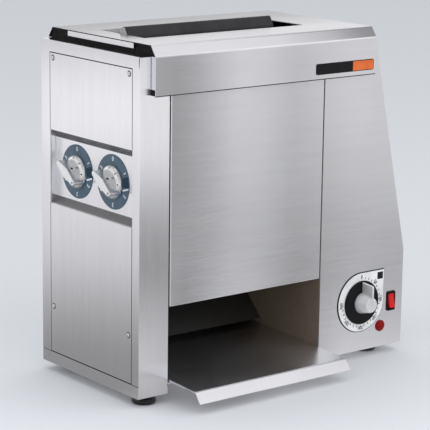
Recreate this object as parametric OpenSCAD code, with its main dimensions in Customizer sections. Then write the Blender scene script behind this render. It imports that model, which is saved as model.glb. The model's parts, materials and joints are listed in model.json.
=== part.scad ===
// Vertical contact toaster for buns: two belt conveyors carry the halves down past one upright
// heated platen, and they leave through the front opening onto a tray.
// Bench frame: x from the left face, y from the front face to the rear, z up from the table.

/* [Casing] */
// Depth of the casing
casing_d = 273; // [265:1:310]
// Height of the casing above its feet
casing_h = 540; // [530:1:600]
// Width of the left housing
column_w = 57; // [54:1:70]
// Clear width of the toasting chamber
chamber_w = 316; // [306:1:330]
// Height of the upright part of the right side
knee_h = 167; // [140:1:200]
// How far the right side leans in at its top
lean_w = 80; // [50:1:85]
// Thickness of the casing sheet
sheet_t = 1.2; // [1:0.1:1.6]
// Height of the raised chamber floor above the housings' bottoms
floor_step = 14; // [10:1:16]
// Height of the low lip along the front of the raised floor
floor_lip_h = 4; // [2:0.5:5]
// Height of the bottom rail along the left side
rail_h = 20; // [16:1:30]

/* [Feet] */
// Height of a rubber foot
foot_h = 15; // [12:1:25]
// Radius of a rubber foot
foot_r = 20; // [16:1:24]
// Foot centre from the casing's left and right faces
foot_inset_x = 28; // [26:1:40]
// Foot centre from the casing's front and rear faces
foot_inset_y = 24; // [24:1:40]
// How much further in the other three feet stand than the front left one
foot_set_in = 18; // [0:1:20]

/* [Side covers] */
// Width of the side frame in front of the covers
border_front = 18.5; // [14:0.5:24]
// Width of the side frame behind the covers
border_rear = 25; // [18:0.5:30]
// Width of the side frame above the covers
border_top = 19; // [14:0.5:28]
// Visible gap around a cover
cover_gap = 0.8; // [0.4:0.1:1.5]
// Width of the ledge that a cover lies on
ledge_w = 16; // [13:1:20]
// Cover screw centre from the cover opening's upright edges
screw_inset = 9; // [7:0.5:10]
// Upper cover's screws below the top of the opening
upper_screw_drop = 9; // [8:0.5:11]
// Lower cover's screws above the rail
lower_screw_rise = 79; // [40:1:120]
// Length of the relief slit at the top of the front corner
corner_slit_h = 17; // [8:1:25]

/* [Control recess] */
// Lower edge of the recess above the casing's lower edge
recess_low = 273; // [262:1:285]
// Margin of the recess's flat wall round the dials
dial_margin = 4.75; // [2:0.25:12]
// Depth of the recess
recess_depth = 11; // [8:0.5:16]
// Height of the sloped top and bottom walls
recess_slope = 11.5; // [8:0.5:13]

/* [Gap adjusters] */
// Radius of a numbered dial
dial_r = 44; // [38:0.5:46]
// Thickness of a numbered dial
dial_t = 0.8; // [0.5:0.1:1.2]
// Radius of the knob's round base
knob_r = 27; // [22:0.5:30]
// Height of the knob's round base
knob_base_h = 8; // [6:0.5:10]
// Length of the knob's wing
wing_l = 57; // [48:1:62]
// Width of the knob's wing at its middle
wing_w = 15; // [14:0.5:20]
// Radius of the wing's round ends
wing_end_r = 4.5; // [3.5:0.5:6]
// Height of the knob's front above its dial
knob_h = 23.5; // [18:0.5:30]
// Radius of the adjuster shaft
adjuster_r = 6; // [5:0.5:7]
// Distance of the follower pin from the adjuster shaft at rest
cam_rest_r = 24; // [23:0.5:25]
// Travel of the follower pin over the whole dial
cam_lift = 7.5; // [5:0.5:8]
// Width of the cam disc
cam_w = 6; // [5:0.5:8]
// Radius of the follower pin
pin_r = 4; // [3:0.25:4.5]
// Play of the pin on each side of its spiral slot
pin_play = 0.4; // [0.35:0.05:0.6]

/* [Hood] */
// Left end of the hood from the casing's left face
hood_inset = 21; // [14:1:26]
// Right end of the hood from the casing's upper right edge
hood_inset_right = 10; // [6:1:20]
// How far the fascia stands out from the casing
hood_overhang = 12; // [10:0.5:16]
// Height of the flat top above the casing
hood_rise = 17; // [15:0.5:22]
// Height of the fascia
fascia_h = 60; // [50:1:70]
// Height of the flange at the hood's ends
end_flange_h = 10; // [7:0.5:12]
// Open corner at each side of an end flange
end_corner = 46; // [30:1:60]
// Right end of the feed slot past the chamber's right wall
slot_over = 13; // [4:0.5:20]
// Width of the feed slot
slot_w = 122; // [112:1:130]
// Left end of the feed slot from the chamber's left wall
slot_inset = 5; // [3:0.5:8]
// Depth of the folded edge along the feed slot
slot_hem = 7; // [5:0.5:9]
// Height of the rubber seal behind the fascia's lower edge
seal_h = 9; // [6:0.5:14]

/* [Front panel] */
// Gap between the left housing and the front panel
panel_gap_left = 3; // [2:0.25:4]
// Gap between the front panel and the right housing
panel_gap_right = 1.5; // [1:0.25:3]
// Lower edge of the front panel above the casing's lower edge
panel_low = 141; // [135:1:155]
// Distance by which the front panel lifts to unhook
panel_lift = 20; // [14:1:22]
// Depth of the front panel's folded sides
panel_flange = 14; // [12:0.5:18]
// Radius of the studs that carry the front panel
stud_r = 3; // [2.5:0.25:4]

/* [Platen] */
// Middle plane of the platen behind the casing's front
platen_y = 135; // [132:0.5:139]
// Thickness of the platen
platen_t = 22; // [18:0.5:24]
// Left end of the platen from the chamber's left wall
platen_inset = 6; // [4:0.5:9]
// Right end of the platen from the chamber's right wall
platen_inset_right = 10; // [6:0.5:14]
// Lower edge of the platen above the casing's lower edge
platen_low = 178; // [172:1:190]
// Height of the platen's ridge above the hood
ridge_rise = 10; // [8:0.5:16]
// Height of the platen's roof-shaped top
ridge_h = 14; // [10:0.5:20]
// Width of the flat along the ridge
ridge_w = 4; // [3:0.5:6]
// Radius of a platen heater
heater_r = 4; // [3:0.25:5]
// Thickness of the release sheet
release_t = 0.8; // [0.5:0.1:1]
// Gap between the release sheet and the platen
release_gap = 0.3; // [0.3:0.05:0.4]

/* [Conveyors] */
// Height of the drive shafts above the casing's lower edge
drive_h = 195; // [190:1:200]
// Drop of the idler shafts below the casing's top
idler_drop = 40; // [36:0.5:60]
// Radius of the drive shafts
drive_shaft_r = 8; // [7:0.5:9]
// Radius of the drive rollers
drive_r = 20; // [18:0.5:20.5]
// Radius of the idler rollers
idler_r = 15; // [13:0.5:17]
// Radius of the idler shafts
idler_shaft_r = 5; // [4:0.5:6]
// Thickness of a belt
belt_t = 1.8; // [1.2:0.1:2.2]
// Gap between a belt and its rollers
belt_gap = 0.35; // [0.3:0.05:0.5]
// Belt edge from the chamber's walls
belt_inset = 22; // [20:0.5:26]
// Thickness of a conveyor's side plate
plate_t = 2.5; // [2:0.25:3]
// Number of rollers on a shaft
roller_count = 5; // [3:1:7]
// Width of a roller
roller_w = 24; // [16:1:30]

/* [Drive] */
// Module of the gears
gear_module = 2; // [1.9:0.05:2.1]
// Teeth of a drive gear
gear_teeth = 50; // [46:1:54]
// Teeth of the motor pinion
pinion_teeth = 20; // [18:1:22]
// Width of the gears
gear_w = 8; // [6:0.5:10]
// Clearance on each tooth flank
flank_gap = 0.14; // [0.1:0.01:0.2]
// Radius of the motor's output shaft
motor_shaft_r = 5; // [4:0.5:6]

/* [Tray] */
// Reach of the tray in front of the casing
tray_reach = 70; // [60:1:80]
// Gap between the tray's folded sides and the floor's lip
tray_clear = 2; // [1:0.25:4]
// Slope of the tray in degrees
tray_slope = 2.4; // [1.5:0.1:3]
// Forward run of the tray's lip
lip_run = 13; // [8:0.5:16]
// Drop of the tray's lip
lip_drop = 17; // [12:0.5:18]
// Depth of the tray's folded sides
tray_hem = 3; // [2:0.25:3.5]
// Length of the tray behind the casing's front
tray_back = 190; // [170:1:200]

/* [Controls] */
// Margin between the chamber's right wall and the thermostat's plate
plate_margin = 39.5; // [30:0.5:60]
// Gap between the thermostat's plate and the rocker switch
rocker_gap = 8.5; // [5:0.5:20]
// Margin between the rocker switch and the casing's right face
rocker_margin = 17; // [10:0.5:30]
// Thermostat centre above the casing's lower edge
thermostat_h = 86; // [80:1:92]
// Radius of the thermostat's scale
scale_r = 51; // [48:0.5:53]
// Thickness of the scale and of its backing plate
scale_t = 1; // [0.8:0.1:1.4]
// Edge of the backing plate past the scale
plate_edge = 1.5; // [1:0.25:3]
// Radius of the thermostat knob's skirt
skirt_r = 38; // [34:0.5:41]
// Radius of the thermostat knob's hub at its skirt
hub_r = 18.5; // [15:0.5:20]
// Radius of the hub at its end
hub_end_r = 13; // [10:0.5:15]
// Length of the thermostat knob's hub
hub_l = 24; // [18:0.5:28]
// Reach of the pointer fin from the knob's axis
fin_reach = 36; // [30:0.5:37]
// Thickness of the pointer fin
fin_t = 4; // [3:0.25:6]
// Radius of the thermostat's stem
stem_r = 3; // [2.5:0.25:4]
// Rocker switch centre above the casing's lower edge
rocker_h = 78; // [70:0.5:84]
// Width of the rocker switch's bezel
bezel_w = 19; // [18:0.5:21]
// Height of the rocker switch's bezel
bezel_h = 34.5; // [33:0.5:38]
// Gap between the thermostat's plate and the indicator lamp
lamp_gap = 5.4; // [3:0.1:12]
// Radius of the indicator lamp's lens
lamp_r = 10; // [8:0.5:10.5]
// Length of the blank name plate
name_l = 125; // [100:1:130]
// Height of the blank name plate
name_h = 18; // [14:0.5:20]
// Gap between the name plate and the hood's right end
name_inset = 5; // [3:0.5:20]

/* [Rear] */
// Length of the cable gland outside the casing
gland_l = 16; // [13:0.5:22]
// Radius of the cable gland's bore
gland_bore_r = 5; // [4:0.25:6]
// Length of a vent slot
vent_l = 50; // [40:1:60]
// Height of a vent slot
vent_h = 5; // [4:0.5:6]
// Number of vent slots in a row
vent_count = 8; // [4:1:9]

/* [Fits] */
// Radial play of a running shaft
run_play = 0.08; // [0.05:0.01:0.1]
// Radial play of a fixed fit
seat_play = 0.05; // [0.03:0.01:0.1]
// Gap between sliding faces
slide_play = 0.3; // [0.3:0.05:0.5]

/* [Hidden] */
$fn = 64;

// A cut runs this far past the face that it opens.
over = 1;
t = sheet_t;
z0 = foot_h;
z1 = z0 + casing_h;
chamber_x0 = column_w;
chamber_x1 = column_w + chamber_w;
plate_r = scale_r + plate_edge;
thermostat_x = chamber_x1 + plate_margin + plate_r;
rocker_x = thermostat_x + plate_r + rocker_gap + bezel_w / 2;
casing_w = rocker_x + bezel_w / 2 + rocker_margin;
hood_x1 = casing_w - lean_w - hood_inset_right;
hood_top = z1 + hood_rise;
slot_x0 = chamber_x0 + slot_inset;
slot_x1 = chamber_x1 + slot_over;
deck_gap = 2;
gasket_w = 12;
gasket_inset = 4;
name_t = 1;
name_drop = 5;
deck_x0 = slot_x1 + deck_gap;

// Cover opening in the left side, and the recess in it
open_y0 = border_front;
open_y1 = casing_d - border_rear;
open_z0 = z0 + rail_h;
open_z1 = z1 - border_top;
rec_z0 = z0 + recess_low;
rec_z1 = rec_z0 + 2 * (dial_r + dial_margin + recess_slope);
weld_w = 5;

// Axes
axle_half = gear_module * gear_teeth / 2;
front_y = platen_y - axle_half;
rear_y = platen_y + axle_half;
drive_z = z0 + drive_h;
idler_rise = casing_h - drive_h - idler_drop;
knob_z = (rec_z0 + rec_z1) / 2;
cam_rise = knob_z - drive_z;
idler_shift = drive_r - idler_r;
pinion_z = drive_z + gear_module * (gear_teeth + pinion_teeth) / 2;

// Gap adjusters: the dial runs from 0 to 5 in steps of 60 degrees and rests at 2
dial_turn = 300;
rest_turn = 120;
slot_spare = 5;
slot_relief = 0.1;
slot_from = -rest_turn - slot_spare;
slot_to = dial_turn - rest_turn + slot_spare;
cam_rate = cam_lift / dial_turn;
cam_wall = 4.5;
cam_r = cam_rest_r - cam_rate * slot_from + pin_r + pin_play + cam_wall;
cam_hub_r = adjuster_r + 4;
cam_hub_l = 6;
cam_x1 = column_w - t - 6;
cam_x0 = cam_x1 - cam_w;
dial_x = recess_depth - dial_t;
knob_gap = 0.5;
knob_x1 = dial_x - knob_gap;
knob_x0 = dial_x - knob_h;
base_x = knob_x1 - knob_base_h;
shaft_end = base_x - 4;
knob_point = -32;

// Bushes
bush_wall = 3;
bush_flange_w = 4;
bush_flange_t = 2;
bush_out = 2;

// Conveyors
belt_x0 = chamber_x0 + belt_inset;
belt_x1 = chamber_x1 - belt_inset;
belt_side_gap = 4;
plate_x0 = belt_x0 - belt_side_gap - plate_t;
plate_x1 = belt_x1 + belt_side_gap;
tie_r = 5;
tie_low = 75;
tie_high = 60;
slide_plate_t = 1.5;
gear_x0 = chamber_x1 + t + bush_flange_t + 6;
bracket_x0 = gear_x0 + gear_w + 8;
bracket_t = 2.5;
bracket_half = 42;
bracket_low = pinion_z - 22;
bracket_high = pinion_z + 62;
pillar_r = 4;
pillar_inset = 7;
gearbox_l = 36;
gearbox_half = 32;
gearbox_low = pinion_z - 16;
gearbox_high = pinion_z + 52;
motor_r = 26;
motor_l = 52;
motor_z = (gearbox_low + gearbox_high) / 2;
motor_stem = 16;
pressure_angle = 20;

// Platen
platen_x0 = chamber_x0 + platen_inset;
platen_x1 = chamber_x1 - platen_inset_right;
platen_z0 = z0 + platen_low;
ridge_z = hood_top + ridge_rise;
mount_h = 20;
mount_low = platen_z0 + 12;
mount_high = ridge_z - ridge_h - 60;
heater_low = platen_z0 + 70;
heater_high = mount_high - 45;
heater_z = [heater_low, (heater_low + heater_high) / 2, heater_high];
heater_inset = 20;
heater_end = chamber_x1 + t + 8;
heater_pin_l = 14;
sheet_short = 12;
sheet_edge = 3;

// Front panel
panel_x0 = chamber_x0 + panel_gap_left;
panel_x1 = chamber_x1 - panel_gap_right;
panel_z0 = z0 + panel_low;
panel_z1 = z1 - panel_lift - 6;
stud_y = panel_flange / 2 + 1;
stud_l = 8;
stud_low = 90;
stud_high = 50;
stud_z = [panel_z0 + stud_low, panel_z1 - stud_high];

// Tray
tray_h = floor_step + floor_lip_h + tray_clear + tray_hem;
tray_x0 = chamber_x0 + panel_gap_right;
tray_x1 = chamber_x1 - panel_gap_right;
runner_x = 9;
runner_w = 6;
runner_short = 20;
upturn_run = 6;
upturn_h = 4;
chute_gap = 8;
chute_y = platen_y + 20;

// Controls
thermostat_z = z0 + thermostat_h;
rocker_z = z0 + rocker_h;
lamp_angle = -46.2;
lamp_reach = plate_r + lamp_gap + lamp_r;
lamp_x = thermostat_x + lamp_reach * cos(lamp_angle);
lamp_z = thermostat_z + lamp_reach * sin(lamp_angle);
bezel_t = 2;
rocker_tilt = 11;
body_deep = 30;
body_half = 18;
stem_l = 14;
rocker_wall = 2;
rocker_rim = 3.2;
rocker_deep = 10;
pivot_r = 1.5;
pivot_reach = bezel_w / 2 - rocker_rim + 0.8;
skirt_h = 3.5;
lamp_wall = 3;
lamp_deep = 22;

// Rear
gland_x = casing_w - 60;
gland_z = z0 + 62;
gland_r = gland_bore_r + 6;
gland_flange_r = gland_r + 5;
gland_inner = 12;
vent_low = 180;
vent_pitch = 3 * vent_h;
terminal_size = [40, 18, 20];
terminal_count = 4;
terminal_r = 2.5;
terminal_y = casing_d - 90;

// Screws
screw_r = 2;
screw_head_r = 3.6;
screw_head_h = 1.8;
screw_l = 8;
rear_screw_x = 40;
rear_screw_low = 8;
rear_screw_drop = 14;
foot_screw_r = 2.5;
foot_head_r = 6;
foot_head_h = 3;
foot_pocket = 5;

// The origin lies at the middle of the whole toaster's box, on the table.
box_x0 = knob_x0;
box_x1 = casing_w;
box_y0 = -tray_reach - lip_run;
box_y1 = casing_d + max(hood_overhang, gland_l);

module place() {
    translate([-(box_x0 + box_x1) / 2, -(box_y0 + box_y1) / 2, 0]) children();
}

// A box between its lowest and highest corners
module block(low, high) {
    translate(low) cube(high - low);
}

// A profile in y and z, drawn out along x
module along_x(x0, x1) {
    translate([x0, 0, 0]) rotate([90, 0, 90]) linear_extrude(x1 - x0) children();
}

// A profile in x and z, drawn out along y
module along_y(y0, y1) {
    translate([0, y1, 0]) rotate([90, 0, 0]) linear_extrude(y1 - y0) children();
}

module rod_x(x0, x1, r, y, z) {
    translate([x0, y, z]) rotate([0, 90, 0]) cylinder(h = x1 - x0, r = r);
}

module rod_y(y0, y1, r, x, z) {
    translate([x, y0, z]) rotate([-90, 0, 0]) cylinder(h = y1 - y0, r = r);
}

module rod_z(low, high, r, x, y) {
    translate([x, y, low]) cylinder(h = high - low, r = r);
}

// A profile of radius and y, turned round the y axis
module turned_y() {
    rotate([-90, 0, 0]) rotate_extrude() children();
}

// The rear conveyor is the front one, mirrored in the platen's middle plane
module mirrored() {
    translate([0, 2 * platen_y, 0]) mirror([0, 1, 0]) children();
}

function unit(v) = v / norm(v);
function left_of(v) = [-v[1], v[0]];
function reversed(p) = [for (i = [len(p) - 1 : -1 : 0]) p[i]];
function polar(r, angle) = r * [cos(angle), sin(angle)];
function arc(r, a0, a1, n, c = [0, 0]) = [for (i = [0 : n]) c + polar(r, a0 + (a1 - a0) * i / n)];

// A bent path's other face: each corner is mitred, and w is the thickness to the path's left
function mitre(a, b, c, w) =
    let (n1 = left_of(unit(b - a)), n2 = left_of(unit(c - b))) b + (n1 + n2) * w / (1 + n1 * n2);
function other_face(p, w) = [
    for (i = [0 : len(p) - 1])
        i == 0 ? p[0] + left_of(unit(p[1] - p[0])) * w
        : i == len(p) - 1 ? p[i] + left_of(unit(p[i] - p[i - 1])) * w
        : mitre(p[i - 1], p[i], p[i + 1], w)
];
function folded(p, w) = concat(p, reversed(other_face(p, w)));

// Outline of a belt round two rollers, drawn from the drive axis
function loop(r1, r2, c2, n) =
    let (heading = atan2(c2[1], c2[0]), spread = acos((r1 - r2) / norm(c2)))
    concat(
        arc(r1, heading + spread, heading + 360 - spread, n),
        arc(r2, heading - spread, heading + spread, n, c2)
    );

// Involute gear outline with a tooth on the given angle
function roll(r, base) = r <= base ? 0 : tan(acos(base / r)) * 180 / PI - acos(base / r);
function tooth_half(r, pitch_r, n) =
    let (base = pitch_r * cos(pressure_angle))
    90 / n - flank_gap / pitch_r * 180 / PI + roll(pitch_r, base) - roll(r, base);
function gear_outline(n, angle, steps = 4) =
    let (
        pitch_r = gear_module * n / 2,
        root = pitch_r - 1.25 * gear_module,
        tip = pitch_r + 0.95 * gear_module,
        radii = [for (i = [0 : steps]) root + (tip - root) * i / steps]
    )
    [
        for (k = [0 : n - 1])
            let (mid = angle + 360 * k / n)
            each concat(
                [for (r = radii) polar(r, mid - tooth_half(r, pitch_r, n))],
                [for (r = reversed(radii)) polar(r, mid + tooth_half(r, pitch_r, n))]
            )
    ];

// The rear gear has a gap where the front gear has a tooth, and the pinion follows the rear gear
rear_gear_angle = 180 - 180 / gear_teeth;
past_tooth = (90 - rear_gear_angle) * gear_teeth / 360;
pinion_angle = 270 + (past_tooth - floor(past_tooth)) * 360 / pinion_teeth + 180 / pinion_teeth;

// Spiral slot for the follower pin, which lies at the given angle at rest
function cam_radius(turn) = cam_rest_r - cam_rate * turn;
function cam_edge(angle, side, n) = [
    for (i = [0 : n])
        let (turn = slot_from + (slot_to - slot_from) * i / n)
        polar(cam_radius(turn) + side * (pin_r + pin_play), angle - turn)
];

// Height of the tray's upper face
function tray_z(y) = z0 + tray_h + y * tan(tray_slope);

// Outline of the casing seen from the front, from x0 to the right side
function end_outline(x0) =
    [[x0, z0], [casing_w, z0], [casing_w, z0 + knee_h], [casing_w - lean_w, z1], [x0, z1]];

function foot_places() = [
    [foot_inset_x, foot_inset_y],
    [foot_inset_x + foot_set_in, casing_d - foot_inset_y - foot_set_in],
    for (y = [foot_inset_y + foot_set_in, casing_d - foot_inset_y - foot_set_in])
        [casing_w - foot_inset_x - foot_set_in, y]
];

function cover_screw_places() = [
    for (y = [open_y0 + screw_inset, open_y1 - screw_inset])
        for (z = [open_z1 - upper_screw_drop, open_z0 + lower_screw_rise]) [y, z]
];

function rear_screw_places() = [
    for (x = [column_w / 2, chamber_x0 + chamber_w / 2, chamber_x1 + rear_screw_x])
        for (z = [z0 + rear_screw_low, z0 + casing_h / 2, z1 - fascia_h - rear_screw_drop]) [x, z]
];

module base_pan() {
    color("silver") place() difference() {
        union() {
            along_y(t, casing_d - t) polygon(folded([
                [0, z0 + rail_h], [0, z0], [chamber_x0 + t, z0], [chamber_x0 + t, z0 + floor_step],
                [chamber_x1 - t, z0 + floor_step], [chamber_x1 - t, z0], [casing_w - t, z0],
                [casing_w - t, z0 + rail_h]
            ], t));
            block([chamber_x0, 0, z0 + floor_step], [chamber_x1, t, z0 + floor_step + floor_lip_h]);
        }
        for (p = foot_places()) rod_z(z0 - over, z0 + t + over, foot_screw_r + seat_play, p[0], p[1]);
    }
}

// A flat frame behind the side sheet that the covers lie on
module ledge(low_z, high_z, cut_low, cut_high) {
    difference() {
        block([t, open_y0 - weld_w, low_z], [2 * t, open_y1 + weld_w, high_z]);
        block([0, open_y0 + ledge_w, cut_low], [3 * t, open_y1 - ledge_w, cut_high]);
    }
}

module cover_screw_holes(r) {
    for (p = cover_screw_places()) rod_x(-over, 2 * t + over, r, p[0], p[1]);
}

module left_casing() {
    color("gainsboro") place() difference() {
        union() {
            difference() {
                block([0, 0, z0 + rail_h], [t, casing_d - t, z1]);
                block([-over, open_y0, open_z0 - over], [t + over, open_y1, open_z1]);
            }
            block([0, 0, z0], [column_w, t, z1]);
            block([0, 0, z1 - t], [column_w, casing_d - t, z1]);
            ledge(rec_z1 + ledge_w + cover_gap, open_z1 + weld_w, rec_z1, open_z1 - ledge_w);
            ledge(open_z0 - weld_w, rec_z0 - ledge_w - cover_gap, open_z0 + ledge_w, rec_z0);
        }
        cover_screw_holes(screw_r + seat_play);
        block([-over, t, z1 - corner_slit_h], [t, 2 * t, z1 + over]);
    }
}

module side_cover(low_z, high_z) {
    difference() {
        block([0, open_y0 + cover_gap, low_z + cover_gap], [t, open_y1 - cover_gap, high_z - cover_gap]);
        cover_screw_holes(screw_r + seat_play);
    }
}

module upper_side_cover() {
    color("whitesmoke") place() side_cover(rec_z1, open_z1);
}

module lower_side_cover() {
    color("whitesmoke") place() side_cover(open_z0, rec_z0);
}

module control_recess() {
    color("gainsboro") place() difference() {
        union() {
            block([t, open_y0 - weld_w, rec_z0 - ledge_w], [2 * t, open_y1 + weld_w, rec_z1 + ledge_w]);
            along_y(open_y0 - t, open_y1 + t) polygon([
                [t, rec_z0 - t], [recess_depth + t, rec_z0 + recess_slope - t],
                [recess_depth + t, rec_z1 - recess_slope + t], [t, rec_z1 + t]
            ]);
        }
        along_y(open_y0, open_y1) polygon([
            [0, rec_z0], [t, rec_z0], [recess_depth, rec_z0 + recess_slope],
            [recess_depth, rec_z1 - recess_slope], [t, rec_z1], [0, rec_z1]
        ]);
        for (y = [front_y, rear_y])
            rod_x(0, recess_depth + t + over, adjuster_r + bush_wall + seat_play, y, knob_z);
    }
}

// A domed screw along +x, its head's seat at the origin
module screw() {
    rotate([0, 90, 0]) rotate_extrude() polygon(concat(
        [[0, screw_l], [screw_r, screw_l], [screw_r, 0], [screw_head_r, 0]],
        [[screw_head_r, -screw_head_h / 2], [screw_head_r * 0.7, -screw_head_h], [0, -screw_head_h]]
    ));
}

module casing_screws() {
    color("lightgray") place() {
        for (p = cover_screw_places()) translate([0, p[0], p[1]]) screw();
        for (p = rear_screw_places()) translate([p[0], casing_d, p[1]]) rotate([0, 0, -90]) screw();
    }
}

module dial(y) {
    difference() {
        rod_x(dial_x, recess_depth, dial_r, y, knob_z);
        rod_x(dial_x - over, recess_depth + over, adjuster_r + slide_play, y, knob_z);
    }
}

module front_dial() {
    color("slategray") place() dial(front_y);
}

module rear_dial() {
    color("slategray") place() dial(rear_y);
}

// A flanged bush along +x: its flange lies before the wall, whose near face is at x
module bush(x, y, z, bore_r, wall) {
    difference() {
        union() {
            rod_x(x - bush_flange_t, x, bore_r + bush_wall + bush_flange_w, y, z);
            rod_x(x - bush_flange_t, x + wall + bush_out, bore_r + bush_wall, y, z);
        }
        rod_x(x - bush_flange_t - over, x + wall + bush_out + over, bore_r + run_play, y, z);
    }
}

// The same bush turned round, with its flange past the wall whose far face is at x
module bush_back(x, y, z, bore_r, wall) {
    difference() {
        union() {
            rod_x(x, x + bush_flange_t, bore_r + bush_wall + bush_flange_w, y, z);
            rod_x(x - wall, x + bush_flange_t, bore_r + bush_wall, y, z);
        }
        rod_x(x - wall - over, x + bush_flange_t + over, bore_r + run_play, y, z);
    }
}

module adjuster_bushes() {
    color("goldenrod") place() for (y = [front_y, rear_y]) {
        bush_back(recess_depth + t, y, knob_z, adjuster_r, t);
        bush(column_w - t, y, knob_z, adjuster_r, t);
    }
}

module drive_bushes() {
    color("goldenrod") place() for (y = [front_y, rear_y]) {
        bush(column_w - t, y, drive_z, drive_shaft_r, t);
        bush_back(chamber_x1 + t, y, drive_z, drive_shaft_r, t);
    }
}

// Room for the follower pin, which swings with its conveyor
module pin_window(y) {
    block(
        [column_w - t - over, y - pin_r - cam_lift, knob_z - pin_r - 2],
        [column_w + over, y + pin_r + cam_lift, knob_z + pin_r + 2]
    );
}

module left_partition() {
    color("lightgray") place() difference() {
        block([column_w - t, t, z0 + t], [column_w, casing_d - t, z1 - t]);
        for (y = [front_y, rear_y]) {
            rod_x(0, column_w + over, drive_shaft_r + bush_wall + seat_play, y, drive_z);
            rod_x(0, column_w + over, adjuster_r + bush_wall + seat_play, y, knob_z);
        }
        pin_window(front_y - cam_rest_r);
        pin_window(rear_y + cam_rest_r);
    }
}

module right_partition() {
    x0 = chamber_x1 - over;
    x1 = chamber_x1 + t + over;
    color("lightgray") place() difference() {
        block([chamber_x1, t, z0 + t], [chamber_x1 + t, casing_d - t, z1 - t]);
        for (y = [front_y, rear_y]) rod_x(x0, x1, drive_shaft_r + bush_wall + seat_play, y, drive_z);
        for (z = heater_z) rod_x(x0, x1, heater_r + slide_play, platen_y, z);
    }
}

module right_front_panel() {
    color("silver") place() difference() {
        along_y(0, t) polygon(end_outline(chamber_x1));
        rod_y(-over, t + over, stem_r + over, thermostat_x, thermostat_z);
        rod_y(-over, t + over, lamp_r - lamp_wall + seat_play, lamp_x, lamp_z);
        translate([rocker_x, -over, rocker_z]) rocker_box(rocker_wall - seat_play, t + 2 * over);
    }
}

// The rocker switch's outline inset from its bezel, drawn out to the rear
module rocker_box(inset, depth) {
    half = [bezel_w / 2 - inset, bezel_h / 2 - inset];
    block([-half[0], 0, -half[1]], [half[0], depth, half[1]]);
}

module right_side_cover() {
    color("silver") place() along_y(t, casing_d - t) polygon(folded([
        [casing_w, z0], [casing_w, z0 + knee_h], [casing_w - lean_w, z1], [deck_x0, z1]
    ], t));
}

module vent_row(x, z) {
    for (i = [0 : vent_count - 1])
        translate([x - vent_l / 2, casing_d - t - over, z + i * vent_pitch])
            cube([vent_l, t + 2 * over, vent_h]);
}

module rear_panel() {
    color("silver") place() difference() {
        along_y(casing_d - t, casing_d) polygon(end_outline(0));
        vent_row((chamber_x1 + casing_w) / 2, z0 + vent_low);
        rod_y(casing_d - t - over, casing_d + over, gland_r + seat_play, gland_x, gland_z);
        for (p = rear_screw_places())
            rod_y(casing_d - t - over, casing_d + over, screw_r + seat_play, p[0], p[1]);
    }
}

module rubber_feet() {
    color("dimgray") place() for (p = foot_places()) translate([p[0], p[1], 0]) rotate_extrude() polygon([
        [foot_head_r + over, 0], [foot_r - 2, 0], [foot_r, 2], [foot_r, foot_h - 5], [foot_r - 2, foot_h],
        [foot_screw_r + seat_play, foot_h], [foot_screw_r + seat_play, foot_pocket],
        [foot_head_r + over, foot_pocket]
    ]);
}

module foot_screws() {
    color("lightgray") place() for (p = foot_places()) {
        rod_z(foot_pocket - foot_head_h, foot_pocket, foot_head_r, p[0], p[1]);
        rod_z(foot_pocket - over, z0 + t + 4, foot_screw_r, p[0], p[1]);
    }
}

module heater_platen() {
    color("darkgray") place() difference() {
        along_x(platen_x0, platen_x1) polygon([
            [platen_y - platen_t / 2, platen_z0], [platen_y + platen_t / 2, platen_z0],
            [platen_y + platen_t / 2, ridge_z - ridge_h], [platen_y + ridge_w / 2, ridge_z],
            [platen_y - ridge_w / 2, ridge_z], [platen_y - platen_t / 2, ridge_z - ridge_h]
        ]);
        for (z = heater_z)
            rod_x(platen_x0 + heater_inset, platen_x1 + over, heater_r + run_play, platen_y, z);
    }
}

module platen_heaters() {
    color("dimgray") place() for (z = heater_z) {
        rod_x(platen_x0 + heater_inset, heater_end, heater_r, platen_y, z);
        rod_x(heater_end - over, heater_end + heater_pin_l, heater_r / 2, platen_y, z);
    }
}

module platen_mounts() {
    color("gray") place() for (z = [mount_low, mount_high], side = [0, 1])
        block(
            [side == 0 ? chamber_x0 : platen_x1, platen_y - platen_t / 4, z],
            [side == 0 ? platen_x0 : chamber_x1, platen_y + platen_t / 4, z + mount_h]
        );
}

module release_sheet() {
    side = platen_t / 2 + release_gap;
    tip = ridge_w / 2 + release_gap / 2;
    shoulder = ridge_z - ridge_h + release_gap / 2;
    low = platen_z0 + sheet_short;
    color("black") place() along_x(platen_x0 + sheet_edge, platen_x1) polygon(folded([
        [platen_y - side, low], [platen_y - side, shoulder], [platen_y - tip, ridge_z + release_gap],
        [platen_y + tip, ridge_z + release_gap], [platen_y + side, shoulder], [platen_y + side, low]
    ], release_t));
}

// Sloped sheet that leads a bun half from the feed slot into the gap beside the platen
module feed_guide() {
    top_y = platen_y - slot_w / 2 - 2 * t;
    nip_y = front_y + drive_r - 4;
    nip_z = drive_z + idler_rise + idler_r + belt_gap + belt_t + 6;
    along_x(chamber_x0, chamber_x1) polygon(folded([
        [top_y, hood_top - slot_hem - 3], [top_y, hood_top - slot_hem - 9], [nip_y, nip_z]
    ], -t));
}

module front_feed_guide() {
    color("lightgray") place() feed_guide();
}

module rear_feed_guide() {
    color("lightgray") place() mirrored() feed_guide();
}

module discharge_chute() {
    rear = casing_d - t;
    color("dimgray") place() along_x(chamber_x0, chamber_x1) polygon(folded([
        [rear, z0 + panel_low + 40], [rear, z0 + panel_low + 10], [chute_y, tray_z(chute_y) + chute_gap]
    ], -t));
}

module tray_runners() {
    floor_z = z0 + floor_step + t;
    rear = tray_back - runner_short;
    drop = t / cos(tray_slope);
    color("lightgray") place() for (x = [tray_x0 + runner_x, tray_x1 - runner_x - runner_w])
        along_x(x, x + runner_w) polygon([
            [2 * t, floor_z], [rear, floor_z], [rear, tray_z(rear) - drop],
            [2 * t, tray_z(2 * t) - drop]
        ]);
}

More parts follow.
